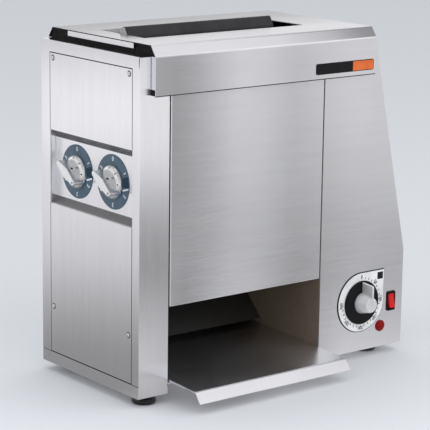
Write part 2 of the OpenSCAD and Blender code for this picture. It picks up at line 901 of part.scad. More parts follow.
module panel_studs() {
    color("lightgray") place() for (z = stud_z) {
        rod_x(chamber_x0, chamber_x0 + stud_l, stud_r, stud_y, z);
        rod_x(chamber_x1 - stud_l, chamber_x1, stud_r, stud_y, z);
    }
}

// Bracket plate on four pillars, outside the gears
module motor_bracket() {
    pillar_y = bracket_half - pillar_inset;
    color("gray") place() difference() {
        union() {
            block(
                [bracket_x0, rear_y - bracket_half, bracket_low],
                [bracket_x0 + bracket_t, rear_y + bracket_half, bracket_high]
            );
            for (y = [rear_y - pillar_y, rear_y + pillar_y], z = [bracket_low + 12, bracket_high - 8])
                rod_x(chamber_x1 + t, bracket_x0, pillar_r, y, z);
        }
        rod_x(bracket_x0 - over, bracket_x0 + bracket_t + over, motor_shaft_r + 3, rear_y, pinion_z);
    }
}

module gearmotor() {
    x0 = bracket_x0 + bracket_t;
    x1 = x0 + gearbox_l;
    color("dimgray") place() difference() {
        union() {
            block([x0, rear_y - gearbox_half, gearbox_low], [x1, rear_y + gearbox_half, gearbox_high]);
            rod_x(x1, x1 + motor_l, motor_r, rear_y, motor_z);
        }
        rod_x(x0 - over, x0 + motor_stem + 2, motor_shaft_r + run_play, rear_y, pinion_z);
    }
}

module thermostat_body() {
    color("dimgray") place() difference() {
        block(
            [thermostat_x - body_half, t, thermostat_z - body_half],
            [thermostat_x + body_half, t + body_deep, thermostat_z + body_half]
        );
        rod_y(0, t + stem_l + 2, stem_r + run_play, thermostat_x, thermostat_z);
    }
}

// Round plate with one square corner, seen from the front
function teardrop(r) = concat(arc(r, 90, 360, 54), [[r, r]]);

module drop_plate(y0, y1, r) {
    translate([thermostat_x, 0, thermostat_z]) along_y(y0, y1) difference() {
        polygon(teardrop(r));
        circle(r = stem_r + over);
    }
}

module thermostat_backplate() {
    color("black") place() drop_plate(-scale_t, 0, plate_r);
}

module thermostat_scale() {
    color("white") place() drop_plate(-2 * scale_t, -scale_t, scale_r);
}

module rocker_housing() {
    color("black") place() translate([rocker_x, 0, rocker_z]) difference() {
        union() {
            translate([0, -bezel_t, 0]) rocker_box(0, bezel_t);
            rocker_box(rocker_wall, rocker_deep + 14);
        }
        translate([0, -bezel_t - over, 0]) rocker_box(rocker_rim, bezel_t + over + rocker_deep);
        rod_x(-pivot_reach - seat_play, pivot_reach + seat_play, pivot_r + run_play, 0, 0);
    }
}

module indicator_lamp() {
    color("darkred") place() translate([lamp_x, 0, lamp_z]) turned_y() polygon([
        [0, -5.5], [lamp_r * 0.45, -5], [lamp_r * 0.75, -3.6], [lamp_r * 0.9, -1.8], [lamp_r, -1.6],
        [lamp_r, 0], [lamp_r - lamp_wall, 0], [lamp_r - lamp_wall, lamp_deep], [0, lamp_deep]
    ]);
}

// Gland through the rear panel: flange and clamping nut outside, a locking collar inside
module cable_gland() {
    color("black") place() translate([gland_x, casing_d, gland_z]) turned_y() polygon([
        [gland_bore_r, -gland_inner], [gland_r, -gland_inner], [gland_r, 0], [gland_flange_r, 0],
        [gland_flange_r, 4], [gland_r + 1.5, 4], [gland_r + 1.5, gland_l - 3], [gland_r - 1, gland_l],
        [gland_bore_r, gland_l]
    ]);
}

module terminal_block() {
    low = [gland_x - terminal_size[0] / 2, terminal_y, z0 + t];
    middle = low + terminal_size / 2;
    top = low[2] + terminal_size[2];
    pitch = terminal_size[0] / terminal_count;
    color("ivory") place() difference() {
        block(low, low + terminal_size);
        for (i = [0 : terminal_count - 1])
            rod_z(middle[2], top + over, terminal_r, low[0] + pitch * (i + 0.5), middle[1]);
    }
}

// The hood's profile in y and z, along its outer face
function hood_path() = [
    [-hood_overhang, z1 - fascia_h], [-hood_overhang, z1], [0, hood_top], [casing_d, hood_top],
    [casing_d + hood_overhang, z1], [casing_d + hood_overhang, z1 - fascia_h]
];

module hood() {
    slot_y0 = platen_y - slot_w / 2;
    slot_y1 = platen_y + slot_w / 2;
    weld_z = hood_top - t / 2;
    return_gap = 3 * slide_play;
    return_z = z1 - fascia_h + seal_h + slide_play;
    color("gainsboro") place() {
        difference() {
            along_x(hood_inset, hood_x1) polygon(folded(hood_path(), -t));
            block([slot_x0, slot_y0, hood_top - 2 * t], [slot_x1, slot_y1, hood_top + over]);
        }
        for (y = [slot_y0 - t, slot_y1])
            block([slot_x0, y, hood_top - slot_hem], [slot_x1, y + t, weld_z]);
        for (x = [hood_inset, hood_x1 - t])
            block([x, end_corner, hood_top - end_flange_h], [x + t, casing_d - end_corner, weld_z]);
        for (x = [hood_inset, hood_x1 - t], y = [t / 2 - hood_overhang, casing_d + return_gap])
            block([x, y, return_z], [x + t, y + hood_overhang - return_gap - t / 2, z1]);
    }
}

module hood_seals() {
    inner = hood_overhang - t;
    color("black") place() for (y = [-inner, casing_d + slide_play])
        block([hood_inset, y, z1 - fascia_h], [hood_x1, y + inner - slide_play, z1 - fascia_h + seal_h]);
}

// Gaskets that close the hood's ends and carry it on the casing's top
module hood_gaskets() {
    inner = other_face(hood_path(), -t);
    color("black") place() for (x = [hood_inset + gasket_inset, hood_x1 - gasket_inset - gasket_w])
        along_x(x, x + gasket_w) intersection() {
            polygon([inner[1], inner[2], inner[3], inner[4]]);
            translate([-hood_overhang, z1]) square([casing_d + 2 * hood_overhang, hood_rise]);
        }
}

module name_plate() {
    corner = 3;
    low = [hood_x1 - name_inset - name_l, -hood_overhang, z1 - fascia_h / 2 - name_drop - name_h];
    right = name_l - corner;
    top = name_h - corner;
    color("black") place() translate(low) along_y(-name_t, 0) polygon(concat(
        arc(corner, 180, 270, 6, [corner, corner]), arc(corner, 270, 360, 6, [right, corner]),
        arc(corner, 0, 90, 6, [right, top]), arc(corner, 90, 180, 6, [corner, top])
    ));
}

// Front panel with folded sides, which hang on the studs by slots that open to the rear
module front_panel() {
    slot_high = stud_r + slide_play;
    color("silver") place() difference() {
        union() {
            block([panel_x0, 0, panel_z0], [panel_x1, t, panel_z1]);
            block([panel_x0, 0, panel_z0], [panel_x1, panel_flange / 2, panel_z0 + t]);
            for (x = [panel_x0, panel_x1 - t]) block([x, 0, panel_z0], [x + t, panel_flange, panel_z1]);
        }
        for (z = stud_z) {
            block(
                [panel_x0 - over, stud_y - slot_high, z - panel_lift - slot_high],
                [panel_x1 + over, stud_y + slot_high, z + slot_high]
            );
            block(
                [panel_x0 - over, stud_y, z - panel_lift - slot_high],
                [panel_x1 + over, panel_flange + over, z - panel_lift + slot_high]
            );
        }
    }
}

module tray() {
    front = -tray_reach;
    top = [[front, tray_z(front)], [tray_back, tray_z(tray_back)]];
    color("silver") place() {
        along_x(tray_x0, tray_x1) polygon(folded(concat(
            [[front - lip_run, tray_z(front) - lip_drop]], top,
            [[tray_back + upturn_run, tray_z(tray_back) + upturn_h]]
        ), -t));
        for (x = [tray_x0, tray_x1 - t]) along_x(x, x + t) polygon(folded(top, -tray_hem));
    }
}

// Side plate of the front conveyor, drawn from the drive axis with the platen to the right
module conveyor_plate() {
    lug = cam_rest_r + pin_r + 3;
    inner = drive_r - belt_gap;
    difference() {
        polygon([
            [-15, -15], [15, -15], [inner, 20], [inner, idler_rise + 10], [-4, idler_rise + 10],
            [-15, cam_rise + 45], [-lug, cam_rise + 12], [-lug, cam_rise - 12], [-15, cam_rise - 45]
        ]);
        circle(r = drive_shaft_r + run_play);
        translate([idler_shift, idler_rise]) circle(r = idler_shaft_r + run_play);
    }
}

module conveyor_frame() {
    inner = drive_r - belt_gap;
    translate([0, front_y, drive_z]) {
        for (x = [plate_x0, plate_x1]) along_x(x, x + plate_t) conveyor_plate();
        along_x(plate_x0 + plate_t, plate_x1)
            translate([inner - slide_plate_t, 30]) square([slide_plate_t, idler_rise - 60]);
        for (v = [cam_rise - tie_low, idler_rise - tie_high])
            rod_x(plate_x0 + plate_t, plate_x1, tie_r, 1, v);
        rod_x(cam_x0 - 1.5, plate_x0, pin_r, -cam_rest_r, cam_rise);
    }
}

module belt() {
    reach = [idler_shift, idler_rise];
    translate([0, front_y, drive_z]) along_x(belt_x0, belt_x1) difference() {
        polygon(loop(drive_r + belt_gap + belt_t, idler_r + belt_gap + belt_t, reach, 24));
        polygon(loop(drive_r + belt_gap, idler_r + belt_gap, reach, 24));
    }
}

// Rollers spaced evenly along a shaft, inside the belt's width
module rollers(r, y, z) {
    step = (belt_x1 - belt_x0 - roller_w) / (roller_count - 1);
    for (i = [0 : roller_count - 1]) rod_x(belt_x0 + i * step, belt_x0 + i * step + roller_w, r, y, z);
}

module idler() {
    y = front_y + idler_shift;
    z = drive_z + idler_rise;
    rod_x(plate_x0 - 2, plate_x1 + plate_t + 2, idler_shaft_r, y, z);
    rollers(idler_r, y, z);
}

module drive_shaft() {
    rod_x(column_w - t - bush_flange_t - 2, gear_x0 + gear_w + 2, drive_shaft_r, front_y, drive_z);
    rollers(drive_r, front_y, drive_z);
}

module spur_gear(n, angle, bore_r, y, z) {
    translate([0, y, z]) along_x(gear_x0, gear_x0 + gear_w) difference() {
        polygon(gear_outline(n, angle));
        circle(r = bore_r + seat_play);
    }
}

module front_conveyor_frame() {
    color("lightgray") place() conveyor_frame();
}

module rear_conveyor_frame() {
    color("lightgray") place() mirrored() conveyor_frame();
}

module front_belt() {
    color("gray") place() belt();
}

module rear_belt() {
    color("gray") place() mirrored() belt();
}

module front_idler() {
    color("darkgray") place() idler();
}

module rear_idler() {
    color("darkgray") place() mirrored() idler();
}

module front_drive_shaft() {
    color("darkgray") place() drive_shaft();
}

module rear_drive_shaft() {
    color("darkgray") place() mirrored() drive_shaft();
}

module front_drive_gear() {
    color("peru") place() spur_gear(gear_teeth, 0, drive_shaft_r, front_y, drive_z);
}

module rear_drive_gear() {
    color("peru") place() spur_gear(gear_teeth, rear_gear_angle, drive_shaft_r, rear_y, drive_z);
}

module motor_pinion() {
    color("peru") place() {
        spur_gear(pinion_teeth, pinion_angle, motor_shaft_r - 2 * seat_play, rear_y, pinion_z);
        rod_x(gear_x0 - 2, bracket_x0 + bracket_t + motor_stem, motor_shaft_r, rear_y, pinion_z);
    }
}

// Outline of the knob's wing, widest at its middle, with round ends
module wing_outline() {
    hull() {
        circle(r = wing_w / 2);
        for (side = [-1, 1])
            translate([side * (wing_l / 2 - wing_end_r), 0]) circle(r = wing_end_r);
    }
}

// Wing knob round the x axis, its wing along y
module wing_knob() {
    difference() {
        union() {
            rotate([0, 90, 0]) rotate_extrude() polygon([
                [0, base_x], [knob_r - 6, base_x], [knob_r - 2, base_x + 2], [knob_r, base_x + 5],
                [knob_r, knob_x1], [0, knob_x1]
            ]);
            along_x(knob_x0, knob_x1) wing_outline();
        }
        rod_x(shaft_end, knob_x1 + over, adjuster_r + seat_play, 0, 0);
    }
}

module knob(y) {
    translate([0, y, knob_z]) rotate([180 - knob_point, 0, 0]) wing_knob();
}

module front_knob() {
    color("silver") place() knob(front_y);
}

module rear_knob() {
    color("silver") place() knob(rear_y);
}

// Shaft with its cam disc, whose spiral slot drives the follower pin both ways
module cam_shaft(y, angle) {
    end_r = pin_r + pin_play + slot_relief;
    translate([0, y, knob_z]) {
        rod_x(shaft_end, column_w + bush_out, adjuster_r, 0, 0);
        rod_x(cam_x0 - cam_hub_l, cam_x0, cam_hub_r, 0, 0);
        along_x(cam_x0, cam_x1) difference() {
            circle(r = cam_r);
            polygon(concat(cam_edge(angle, -1, 60), reversed(cam_edge(angle, 1, 60))));
            for (turn = [slot_from, slot_to])
                translate(polar(cam_radius(turn), angle - turn)) circle(r = end_r);
        }
    }
}

module front_cam_shaft() {
    color("darkgray") place() cam_shaft(front_y, 180);
}

module rear_cam_shaft() {
    color("darkgray") place() cam_shaft(rear_y, 0);
}

module thermostat_skirt() {
    seat = -2 * scale_t - slide_play;
    color("black") place() translate([thermostat_x, 0, thermostat_z]) turned_y() polygon([
        [stem_r + seat_play, seat], [skirt_r, seat], [skirt_r, seat - 2], [skirt_r - 3, seat - 3],
        [hub_r + 4, seat - skirt_h + 1], [hub_r, seat - skirt_h],
        [stem_r + seat_play, seat - skirt_h]
    ]);
}

// Hub with its pointer fin and the stem that turns in the thermostat
module thermostat_hub() {
    seat = -2 * scale_t - slide_play - skirt_h;
    color("silver") place() translate([thermostat_x, 0, thermostat_z]) {
        turned_y() polygon([
            [0, seat - hub_l], [hub_end_r - 3, seat - hub_l], [hub_end_r - 1, seat - hub_l + 0.8],
            [hub_end_r, seat - hub_l + 3], [hub_r, seat], [0, seat]
        ]);
        along_x(-fin_t / 2, fin_t / 2) polygon([
            [seat, 0], [seat, fin_reach], [seat - hub_l, fin_reach - 2],
            [seat - hub_l - 2, fin_reach - 4], [seat - hub_l - 2, 0]
        ]);
        rod_y(seat - 2, t + stem_l, stem_r, 0, 0);
    }
}

// Rocker with two faces that meet at its middle, tipped so that its lower half stands out
module rocker() {
    half_w = bezel_w / 2 - rocker_rim - slide_play;
    half_h = bezel_h / 2 - rocker_rim - 1.4;
    color("red") place() translate([rocker_x, 0, rocker_z]) {
        rod_x(-pivot_reach, pivot_reach, pivot_r, 0, 0);
        rotate([-rocker_tilt, 0, 0]) along_x(-half_w, half_w)
            polygon([[-4, -half_h], [-2.4, 0], [-4, half_h], [4, half_h - 2.5], [4, 2.5 - half_h]]);
    }
}

base_pan();
left_casing();
upper_side_cover();
lower_side_cover();
control_recess();
casing_screws();
front_dial();
rear_dial();
adjuster_bushes();
left_partition();
right_partition();
drive_bushes();
right_front_panel();
right_side_cover();
rear_panel();
rubber_feet();
foot_screws();
heater_platen();
platen_heaters();
platen_mounts();
release_sheet();
front_feed_guide();
rear_feed_guide();
discharge_chute();
tray_runners();
panel_studs();
motor_bracket();
gearmotor();
thermostat_body();
thermostat_backplate();
thermostat_scale();
rocker_housing();
indicator_lamp();
cable_gland();
terminal_block();
hood();
hood_seals();
hood_gaskets();
name_plate();
front_panel();
tray();
front_conveyor_frame();
front_belt();
front_idler();
front_drive_shaft();
front_drive_gear();
rear_conveyor_frame();
rear_belt();
rear_idler();
rear_drive_shaft();
rear_drive_gear();
front_knob();
front_cam_shaft();
rear_knob();
rear_cam_shaft();
motor_pinion();
thermostat_skirt();
thermostat_hub();
rocker();
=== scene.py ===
"""Finishes, modelled pieces and studio for an upright contact toaster."""

import json
import math
from functools import lru_cache

import bmesh
import bpy
from mathutils import Matrix, Vector
from mathutils.bvhtree import BVHTree


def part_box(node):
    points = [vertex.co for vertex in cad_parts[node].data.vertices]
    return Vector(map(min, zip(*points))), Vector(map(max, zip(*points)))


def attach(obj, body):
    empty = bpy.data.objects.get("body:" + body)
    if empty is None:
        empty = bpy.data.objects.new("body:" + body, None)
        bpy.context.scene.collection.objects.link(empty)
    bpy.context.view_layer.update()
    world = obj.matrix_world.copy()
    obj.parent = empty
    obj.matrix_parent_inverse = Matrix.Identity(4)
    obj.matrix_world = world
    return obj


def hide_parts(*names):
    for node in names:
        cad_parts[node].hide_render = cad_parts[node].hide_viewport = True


bl_info = {
    "name": "Vertical Toaster Finish",
    "version": (1, 0, 0),
    "blender": (4, 2, 0),
    "location": "View3D > Sidebar > Toaster",
    "description": "Finishes and modelled pieces for an upright contact toaster",
    "category": "Object",
}

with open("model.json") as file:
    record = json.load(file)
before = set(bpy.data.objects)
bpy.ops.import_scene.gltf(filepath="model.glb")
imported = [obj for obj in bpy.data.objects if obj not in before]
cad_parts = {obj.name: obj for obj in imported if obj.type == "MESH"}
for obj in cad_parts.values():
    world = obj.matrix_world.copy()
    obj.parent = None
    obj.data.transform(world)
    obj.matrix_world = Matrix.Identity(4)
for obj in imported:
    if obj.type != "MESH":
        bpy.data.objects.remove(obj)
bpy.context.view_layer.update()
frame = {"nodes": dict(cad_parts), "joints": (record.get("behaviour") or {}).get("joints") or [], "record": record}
SLOTS = {part["node"]: part["material_slot"] for part in frame["record"]["subparts"]}
MM = 0.001
# Distance within which points count as one, and the least share of a normal that faces one way
MERGE, SQUARE_ON = MM / 1000, 0.9
UP, LEFTWARD, FORWARD = Vector((0, 0, 1)), Vector((-1, 0, 0)), Vector((0, -1, 0))


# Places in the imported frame

def low(node):
    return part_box(node)[0]


def high(node):
    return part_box(node)[1]


def middle(node):
    return (low(node) + high(node)) / 2


def joint_place(name):
    """The point that a joint turns about."""
    joint = next(j for j in frame["joints"] if j["name"] == name)
    return Vector(joint["pos_m"])


def home(node):
    """The body that a node rides on, and its slot, as the record says."""
    bodies = frame["record"]["behaviour"]["bodies"]
    body = next(name for name, members in bodies.items() if node in members)
    return body, SLOTS[node]


# Sizes and colours that a user would change

def length(name, description, default):
    return bpy.props.FloatProperty(
        name=name, description=description, default=default, subtype="DISTANCE", unit="LENGTH",
        precision=5)


def share(name, description, default):
    return bpy.props.FloatProperty(
        name=name, description=description, default=default, min=0, max=1, subtype="FACTOR")


def angle(name, description, degrees):
    return bpy.props.FloatProperty(
        name=name, description=description, default=math.radians(degrees), subtype="ANGLE",
        unit="ROTATION")


def colour(name, description, default):
    return bpy.props.FloatVectorProperty(
        name=name, description=description, default=default, size=3, min=0, max=1, subtype="COLOR")


class SteelSheet(bpy.types.PropertyGroup):
    """Brushed sheet of the casing, the hood, the panels and the tray."""

    tone: colour("Tone", "Colour of the bare sheet", (0.86, 0.86, 0.9))
    roughness: share("Roughness", "How far the brushing blurs a reflection", 0.22)
    anisotropy: share("Anisotropy", "How much more it blurs across the grain", 0.94)
    grain: length("Grain", "Width of a brush mark", 0.4 * MM)
    bend: length("Bend radius", "Outer radius of a fold", 2.2 * MM)
    tight_bend: length("Tight bend radius", "Outer radius of the left casing's folds", 1 * MM)
    gauge: length("Gauge", "Thickness of the sheet", 1.2 * MM)
    rim: length("Rim radius", "Rounding of a cut edge", 0.25 * MM)
    # Painted shade: the recess's sloped walls are darkened to stand for the dark surroundings that they reflect
    slope_depth: share("Slope depth", "Brightness of the recess's sloped walls", 0.3)


class ControlMarks(bpy.types.PropertyGroup):
    """Numbers and ticks on the gap dials and on the thermostat."""

    dial_number: length("Dial number", "Height of a number on a gap dial", 7 * MM)
    dial_number_at: length("Dial number radius", "Where the numbers stand on a gap dial", 37 * MM)
    scale_number: length("Scale number", "Height of a number on the thermostat", 5.6 * MM)
    scale_number_at: length("Scale number radius", "Where the thermostat's numbers stand", 45 * MM)
    weight: length("Weight", "How far the figures' lines are thickened", 0.16 * MM)
    ink: length("Ink", "Thickness of the print", 0.12 * MM)


class ControlColours(bpy.types.PropertyGroup):
    """Colours of the dials, knobs, switch and lamp."""

    dial: colour("Dial", "Paint of the gap dials", (0.075, 0.125, 0.172))
    scale: colour("Scale", "Thermostat's dial plate", (0.9, 0.9, 0.9))
    black: colour("Black parts", "Moulded black parts", (0.008, 0.008, 0.009))
    knob: colour("Knobs", "Satin metal of the knobs", (0.86, 0.86, 0.87))
    rocker: colour("Rocker", "Switch rocker", (0.76, 0.006, 0.008))
    lamp: colour("Lamp", "Lens of the lamp", (0.27, 0.003, 0.004))
    badge: colour("Badge end", "Plain end of the plate on the hood", (0.78, 0.16, 0.03))


class ReleaseCloth(bpy.types.PropertyGroup):
    """Coated cloth that hangs over the platen."""

    tone: colour("Tone", "Colour of the coated cloth", (0.022, 0.02, 0.023))
    ripple: length("Ripple", "Height of the cloth's soft ripples", 0.25 * MM)
    ridge: length("Ridge height", "Height of the platen's sloped top", 14 * MM)
    crown: length("Crown", "Width of the platen's top edge", 4 * MM)


class WireBelt(bpy.types.PropertyGroup):
    """Wire belts of the two conveyors."""

    wire: length("Wire", "Radius of a belt wire", 0.75 * MM)
    cell: length("Cell", "Width of a belt's mesh", 19 * MM)
    links: bpy.props.IntProperty(
        name="Links", description="Cross wires round one belt", default=84, min=12)


class StudioStage(bpy.types.PropertyGroup):
    """Floor and camera."""

    eye: bpy.props.FloatVectorProperty(
        name="Eye", description="Camera's place from the casing's lower left front corner",
        default=(-1.6636, -2.3099, 0.9334), size=3, subtype="TRANSLATION", unit="LENGTH")
    azimuth: angle("Azimuth", "Side that the camera looks from", -38.103)
    elevation: angle("Elevation", "Height that the camera looks down from", 12.580)
    roll: angle("Roll", "Camera's tilt about its own axis", 0.7745)
    lens: bpy.props.FloatProperty(
        name="Lens", description="Focal length in millimetres on a 36 mm sensor", default=159.18)
    floor: colour("Floor", "Colour of the floor", (0.87, 0.884, 0.91))


SETTINGS = {
    "toaster_steel": SteelSheet,
    "toaster_marks": ControlMarks,
    "toaster_colours": ControlColours,
    "toaster_cloth": ReleaseCloth,
    "toaster_belt": WireBelt,
    "toaster_stage": StudioStage,
}


def settings(name):
    return getattr(bpy.context.scene, "toaster_" + name)


# Node trees

# Painted reflection: brightness multiplied into x-brushed sheet along x on front and sloped faces and along y on
# top faces, in metres, standing for the bands of light and shade that the sheet reflects
FRONT_PAINTED_REFLECTION = ((-0.28, 0.6), (-0.21, 0.66), (-0.16, 0.82), (-0.09, 1.0), (-0.03, 1.0),
               (0.03, 0.95), (0.08, 1.0), (0.15, 0.99), (0.22, 0.93), (0.3, 0.88))
SLOPE_PAINTED_REFLECTION = ((-0.1, 1.0), (0.0, 0.98), (0.1, 0.84), (0.17, 0.58), (0.3, 0.42))
TOP_PAINTED_REFLECTION = ((-0.12, 1.06), (-0.05, 1.04), (0.05, 0.77), (0.11, 0.6), (0.17, 0.54))
# Heights between which the painted reflection bands grow clear, and the shares of a normal at which they set in
PAINTED_REFLECTION_HEIGHTS, FRONT_FROM = (0.15, 0.42), (-0.98, -0.9)
SLOPE_FROM, SLOPE_TO, TOP_FROM = (0.4, 0.55), (0.82, 0.95), (0.9, 0.98)


class Tree:
    """A node tree under construction."""

    def __init__(self, tree):
        self.tree = tree

    def node(self, kind, **traits):
        made = self.tree.nodes.new(kind)
        for trait, value in traits.items():
            setattr(made, trait, value)
        return made

    def feed(self, socket, value):
        """Links a socket to another node's output, or sets it to a constant."""
        if isinstance(value, bpy.types.NodeSocket):
            self.tree.links.new(value, socket)
        else:
            socket.default_value = value

    def made(self, kind, inputs, output=0, **traits):
        """Adds a node, feeds the named or numbered inputs, and returns one of its outputs."""
        node = self.node(kind, **traits)
        for key, value in inputs.items():
            self.feed(node.inputs[key], value)
        return node.outputs[output]

    def work(self, operation, first, second=0.0):
        return self.made("ShaderNodeMath", {0: first, 1: second}, operation=operation)

    def times(self, first, second):
        return self.work("MULTIPLY", first, second)

    def split(self, vector):
        """The x, y and z of a vector."""
        return self.made("ShaderNodeSeparateXYZ", {0: vector}).node.outputs

    def span(self, value, least=0, most=1, start=0.3, end=0.7):
        """Maps a value onto a range of numbers, as a rule from a noise's middle range."""
        return self.made("ShaderNodeMapRange", {
            "Value": value, "From Min": start, "From Max": end, "To Min": least, "To Max": most})

    def ramp(self, value, stops):
        """Greys that follow a value, from pairs of a value and a brightness."""
        start, end = stops[0][0], stops[-1][0]
        node = self.node("ShaderNodeValToRGB")
        marks = node.color_ramp.elements
        while len(marks) < len(stops):
            marks.new(0.5)
        for mark, (at, grey) in zip(marks, stops):
            mark.position = (at - start) / (end - start)
            mark.color = (grey, grey, grey, 1)
        self.feed(node.inputs[0], self.span(value, 0, 1, start, end))
        return node.outputs[0]

    def mix(self, factor, first, second, blend_type="MIX"):
        """Mixes or multiplies two colours."""
        return self.made("ShaderNodeMix", {0: factor, 6: first, 7: second}, 2, data_type="RGBA",
                         blend_type=blend_type)


class Finish(Tree):
    """A material on one shader, with patterns on the object's own coordinates."""

    def __init__(self, name):
        self.material = bpy.data.materials.new(name)
        self.material.use_nodes = True
        super().__init__(self.material.node_tree)
        self.tree.nodes.clear()
        self.shader = self.node("ShaderNodeBsdfPrincipled")
        self.output = self.node("ShaderNodeOutputMaterial")
        self.feed(self.output.inputs["Surface"], self.shader.outputs[0])
        self.place = self.node("ShaderNodeTexCoord").outputs["Object"]

    def surface(self, **sockets):
        """Feeds the shader's sockets, named in lower case with underscores."""
        for name, value in sockets.items():
            socket = name.replace("_", " ").title().replace("Ior", "IOR")
            self.feed(self.shader.inputs[socket], value)
        return self.material

    def noise(self, scale, detail, stretch=(1, 1, 1)):
        """Noise that is drawn out along each axis with a low stretch."""
        at = self.made("ShaderNodeMapping", {"Vector": self.place, "Scale": stretch})
        return self.made("ShaderNodeTexNoise", {"Vector": at, "Scale": scale, "Detail": detail})

    def facing(self):
        return self.made("ShaderNodeNewGeometry", {}, "Normal")

    def bump(self, height, strength, distance):
        return self.made("ShaderNodeBump", {
            "Height": height, "Strength": strength, "Distance": distance})

    def rolled(self, tone):
        """A tone with painted reflection: bands of reflected light and shade on its front, sloped and top faces.
        """
        x, y, z = self.split(self.place)
        _, ahead, above = self.split(self.facing())
        raised = self.span(z, 0.1, 1, *PAINTED_REFLECTION_HEIGHTS)
        front = self.times(self.span(ahead, 1, 0, *FRONT_FROM), raised)
        slope = self.times(self.span(above, 0, 1, *SLOPE_FROM),
                           self.times(self.span(above, 1, 0, *SLOPE_TO), raised))
        top = self.span(above, 0, 1, *TOP_FROM)
        for part, along, bands in ((front, x, FRONT_PAINTED_REFLECTION), (slope, x, SLOPE_PAINTED_REFLECTION),
                                   (top, y, TOP_PAINTED_REFLECTION)):
            tone = self.mix(part, tone, self.ramp(along, bands), "MULTIPLY")
        return tone


def shade(tone, factor=1.0):
    """A colour with its alpha, brightened by a factor."""
    return tuple(min(1.0, part * factor) for part in tone[:3]) + (1.0,)


# Finishes

@lru_cache(None)
def brushed_steel(grain, depth=1.0):
    """Stainless sheet, brushed along the x or the z axis, darkened by painted shade where its depth is below 1;
    sheet brushed along x also gets painted reflection bands.
    """
    def drawn(along, across):
        return [along if axis == grain else across for axis in "xyz"]

    look = settings("steel")
    finish = Finish("brushed_steel_" + grain)
    fine = finish.noise(1 / look.grain, 3.0, drawn(0.012, 1.0))
    broad = finish.noise(90, 3.0, drawn(0.05, 1.0))
    marks = finish.work("ADD", fine, finish.times(broad, 0.5))
    tone = finish.mix(finish.span(marks, 0, 1, 0.55, 0.95), shade(look.tone, 0.965 * depth),
                      shade(look.tone, 1.025 * depth))
    # Painted reflection: bands of reflected light and shade multiplied into x-brushed sheet
    if grain == "x":
        tone = finish.rolled(tone)
    rough = finish.work("ADD", finish.span(fine, look.roughness - 0.03, look.roughness + 0.03),
                        finish.span(finish.noise(9, 4.0), -0.02, 0.02))
    tangent = finish.made("ShaderNodeVectorMath", {0: finish.facing(), 1: drawn(1.0, 0.05)},
                          operation="CROSS_PRODUCT")
    return finish.surface(
        base_color=tone, metallic=1.0, roughness=rough, anisotropic=look.anisotropy,
        tangent=tangent, normal=finish.bump(fine, 0.07, 0.02 * MM))


def uneven(name, tone, variety, clouds, grain, roughness, drift, bump):
    """A finish with a cloudy tone and a fine grain, before its own kind of shine."""
    finish = Finish(name)
    cloud, speck = finish.noise(clouds, 4.0), finish.noise(*grain)
    base = finish.mix(finish.span(cloud), shade(tone, 1 - variety), shade(tone, 1 + variety))
    rough = finish.work("ADD", finish.span(speck, *roughness), finish.span(cloud, *drift))
    finish.surface(base_color=base, roughness=rough, normal=finish.bump(speck, *bump))
    return finish


@lru_cache(None)
def plain_metal(name, tone, roughness, variety=0.1, grain=700, bump=0.1, metallic=1.0):
    """Cast, drawn or plated metal with a fine uneven finish."""
    return uneven(name, tone, variety, 60, (grain, 3.0), (roughness * 0.85, roughness * 1.15),
                  (-0.03, 0.04), (bump, 0.05 * MM)).surface(metallic=metallic)


@lru_cache(None)
def moulded(name, tone, roughness, grain=1600, bump=0.15, shine=0.5):
    """Plastic or paint with a fine skin."""
    return uneven(name, tone, 0.14, 45, (grain, 2.0), (roughness * 0.88, roughness * 1.1),
                  (-0.02, 0.03), (bump, 0.04 * MM)).surface(specular_ior_level=shine)


def satin_metal():
    return plain_metal("satin_cast", tuple(settings("colours").knob), 0.25, 0.03, 900, 0.01, 0.9)


def screw_steel():
    return plain_metal("screw_steel", (0.78, 0.78, 0.79), 0.28, 0.06, 700, 0.05, 0.8)


def ground_steel():
    return plain_metal("ground_steel", (0.88, 0.88, 0.9), 0.42, 0.04, 700, 0.05, 0.4)


def black_plastic(name, roughness):
    return moulded(name, tuple(settings("colours").black), roughness, shine=0.15)


# Near-black finish for discs that paint the shade in gaps and hollows
def dark_pit(name):
    return moulded(name, (0.01, 0.01, 0.01), 0.6, shine=0.1)


@lru_cache(None)
def rubber():
    """Black rubber with a dusty, matt skin."""
    finish = Finish("matt_rubber")
    dust, pores = finish.noise(120, 5.0), finish.noise(2200, 2.0)
    base = finish.mix(finish.span(dust), (0.006, 0.006, 0.006, 1), (0.018, 0.017, 0.017, 1))
    return finish.surface(
        base_color=base, roughness=finish.span(pores, 0.62, 0.8), specular_ior_level=0.15,
        normal=finish.bump(pores, 0.3, 0.05 * MM))


@lru_cache(None)
def coated_cloth():
    """Black coated glass cloth with its weave showing through the coat."""
    finish = Finish("coated_cloth")
    tone = settings("cloth").tone
    weave = [
        finish.made("ShaderNodeTexWave", {"Vector": finish.place, "Scale": 520, "Distortion": 0.4},
                    "Fac", bands_direction=axis) for axis in "XZ"]
    threads = finish.work("MAXIMUM", *weave)
    worn = finish.noise(24, 5.0, (1, 1, 0.4))
    rough = finish.work("ADD", finish.span(worn, 0.34, 0.46), finish.span(threads, 0, 0.08, 0, 1))
    return finish.surface(
        base_color=finish.mix(finish.span(worn), shade(tone), shade(tone, 2.2)), roughness=rough,
        specular_ior_level=0.26, normal=finish.bump(threads, 0.25, 0.05 * MM))


# Meshes

def baked(bm, name="shape"):
    """The mesh of a shape, which is then freed."""
    mesh = bpy.data.meshes.new(name)
    bm.to_mesh(mesh)
    bm.free()
    return mesh


def linked(name, data):
    """A new object in the scene."""
    made = bpy.data.objects.new(name, data)
    bpy.context.scene.collection.objects.link(made)
    return made


def evaluated(holder):
    """The mesh that an object comes to."""
    return bpy.data.meshes.new_from_object(
        holder.evaluated_get(bpy.context.evaluated_depsgraph_get()))


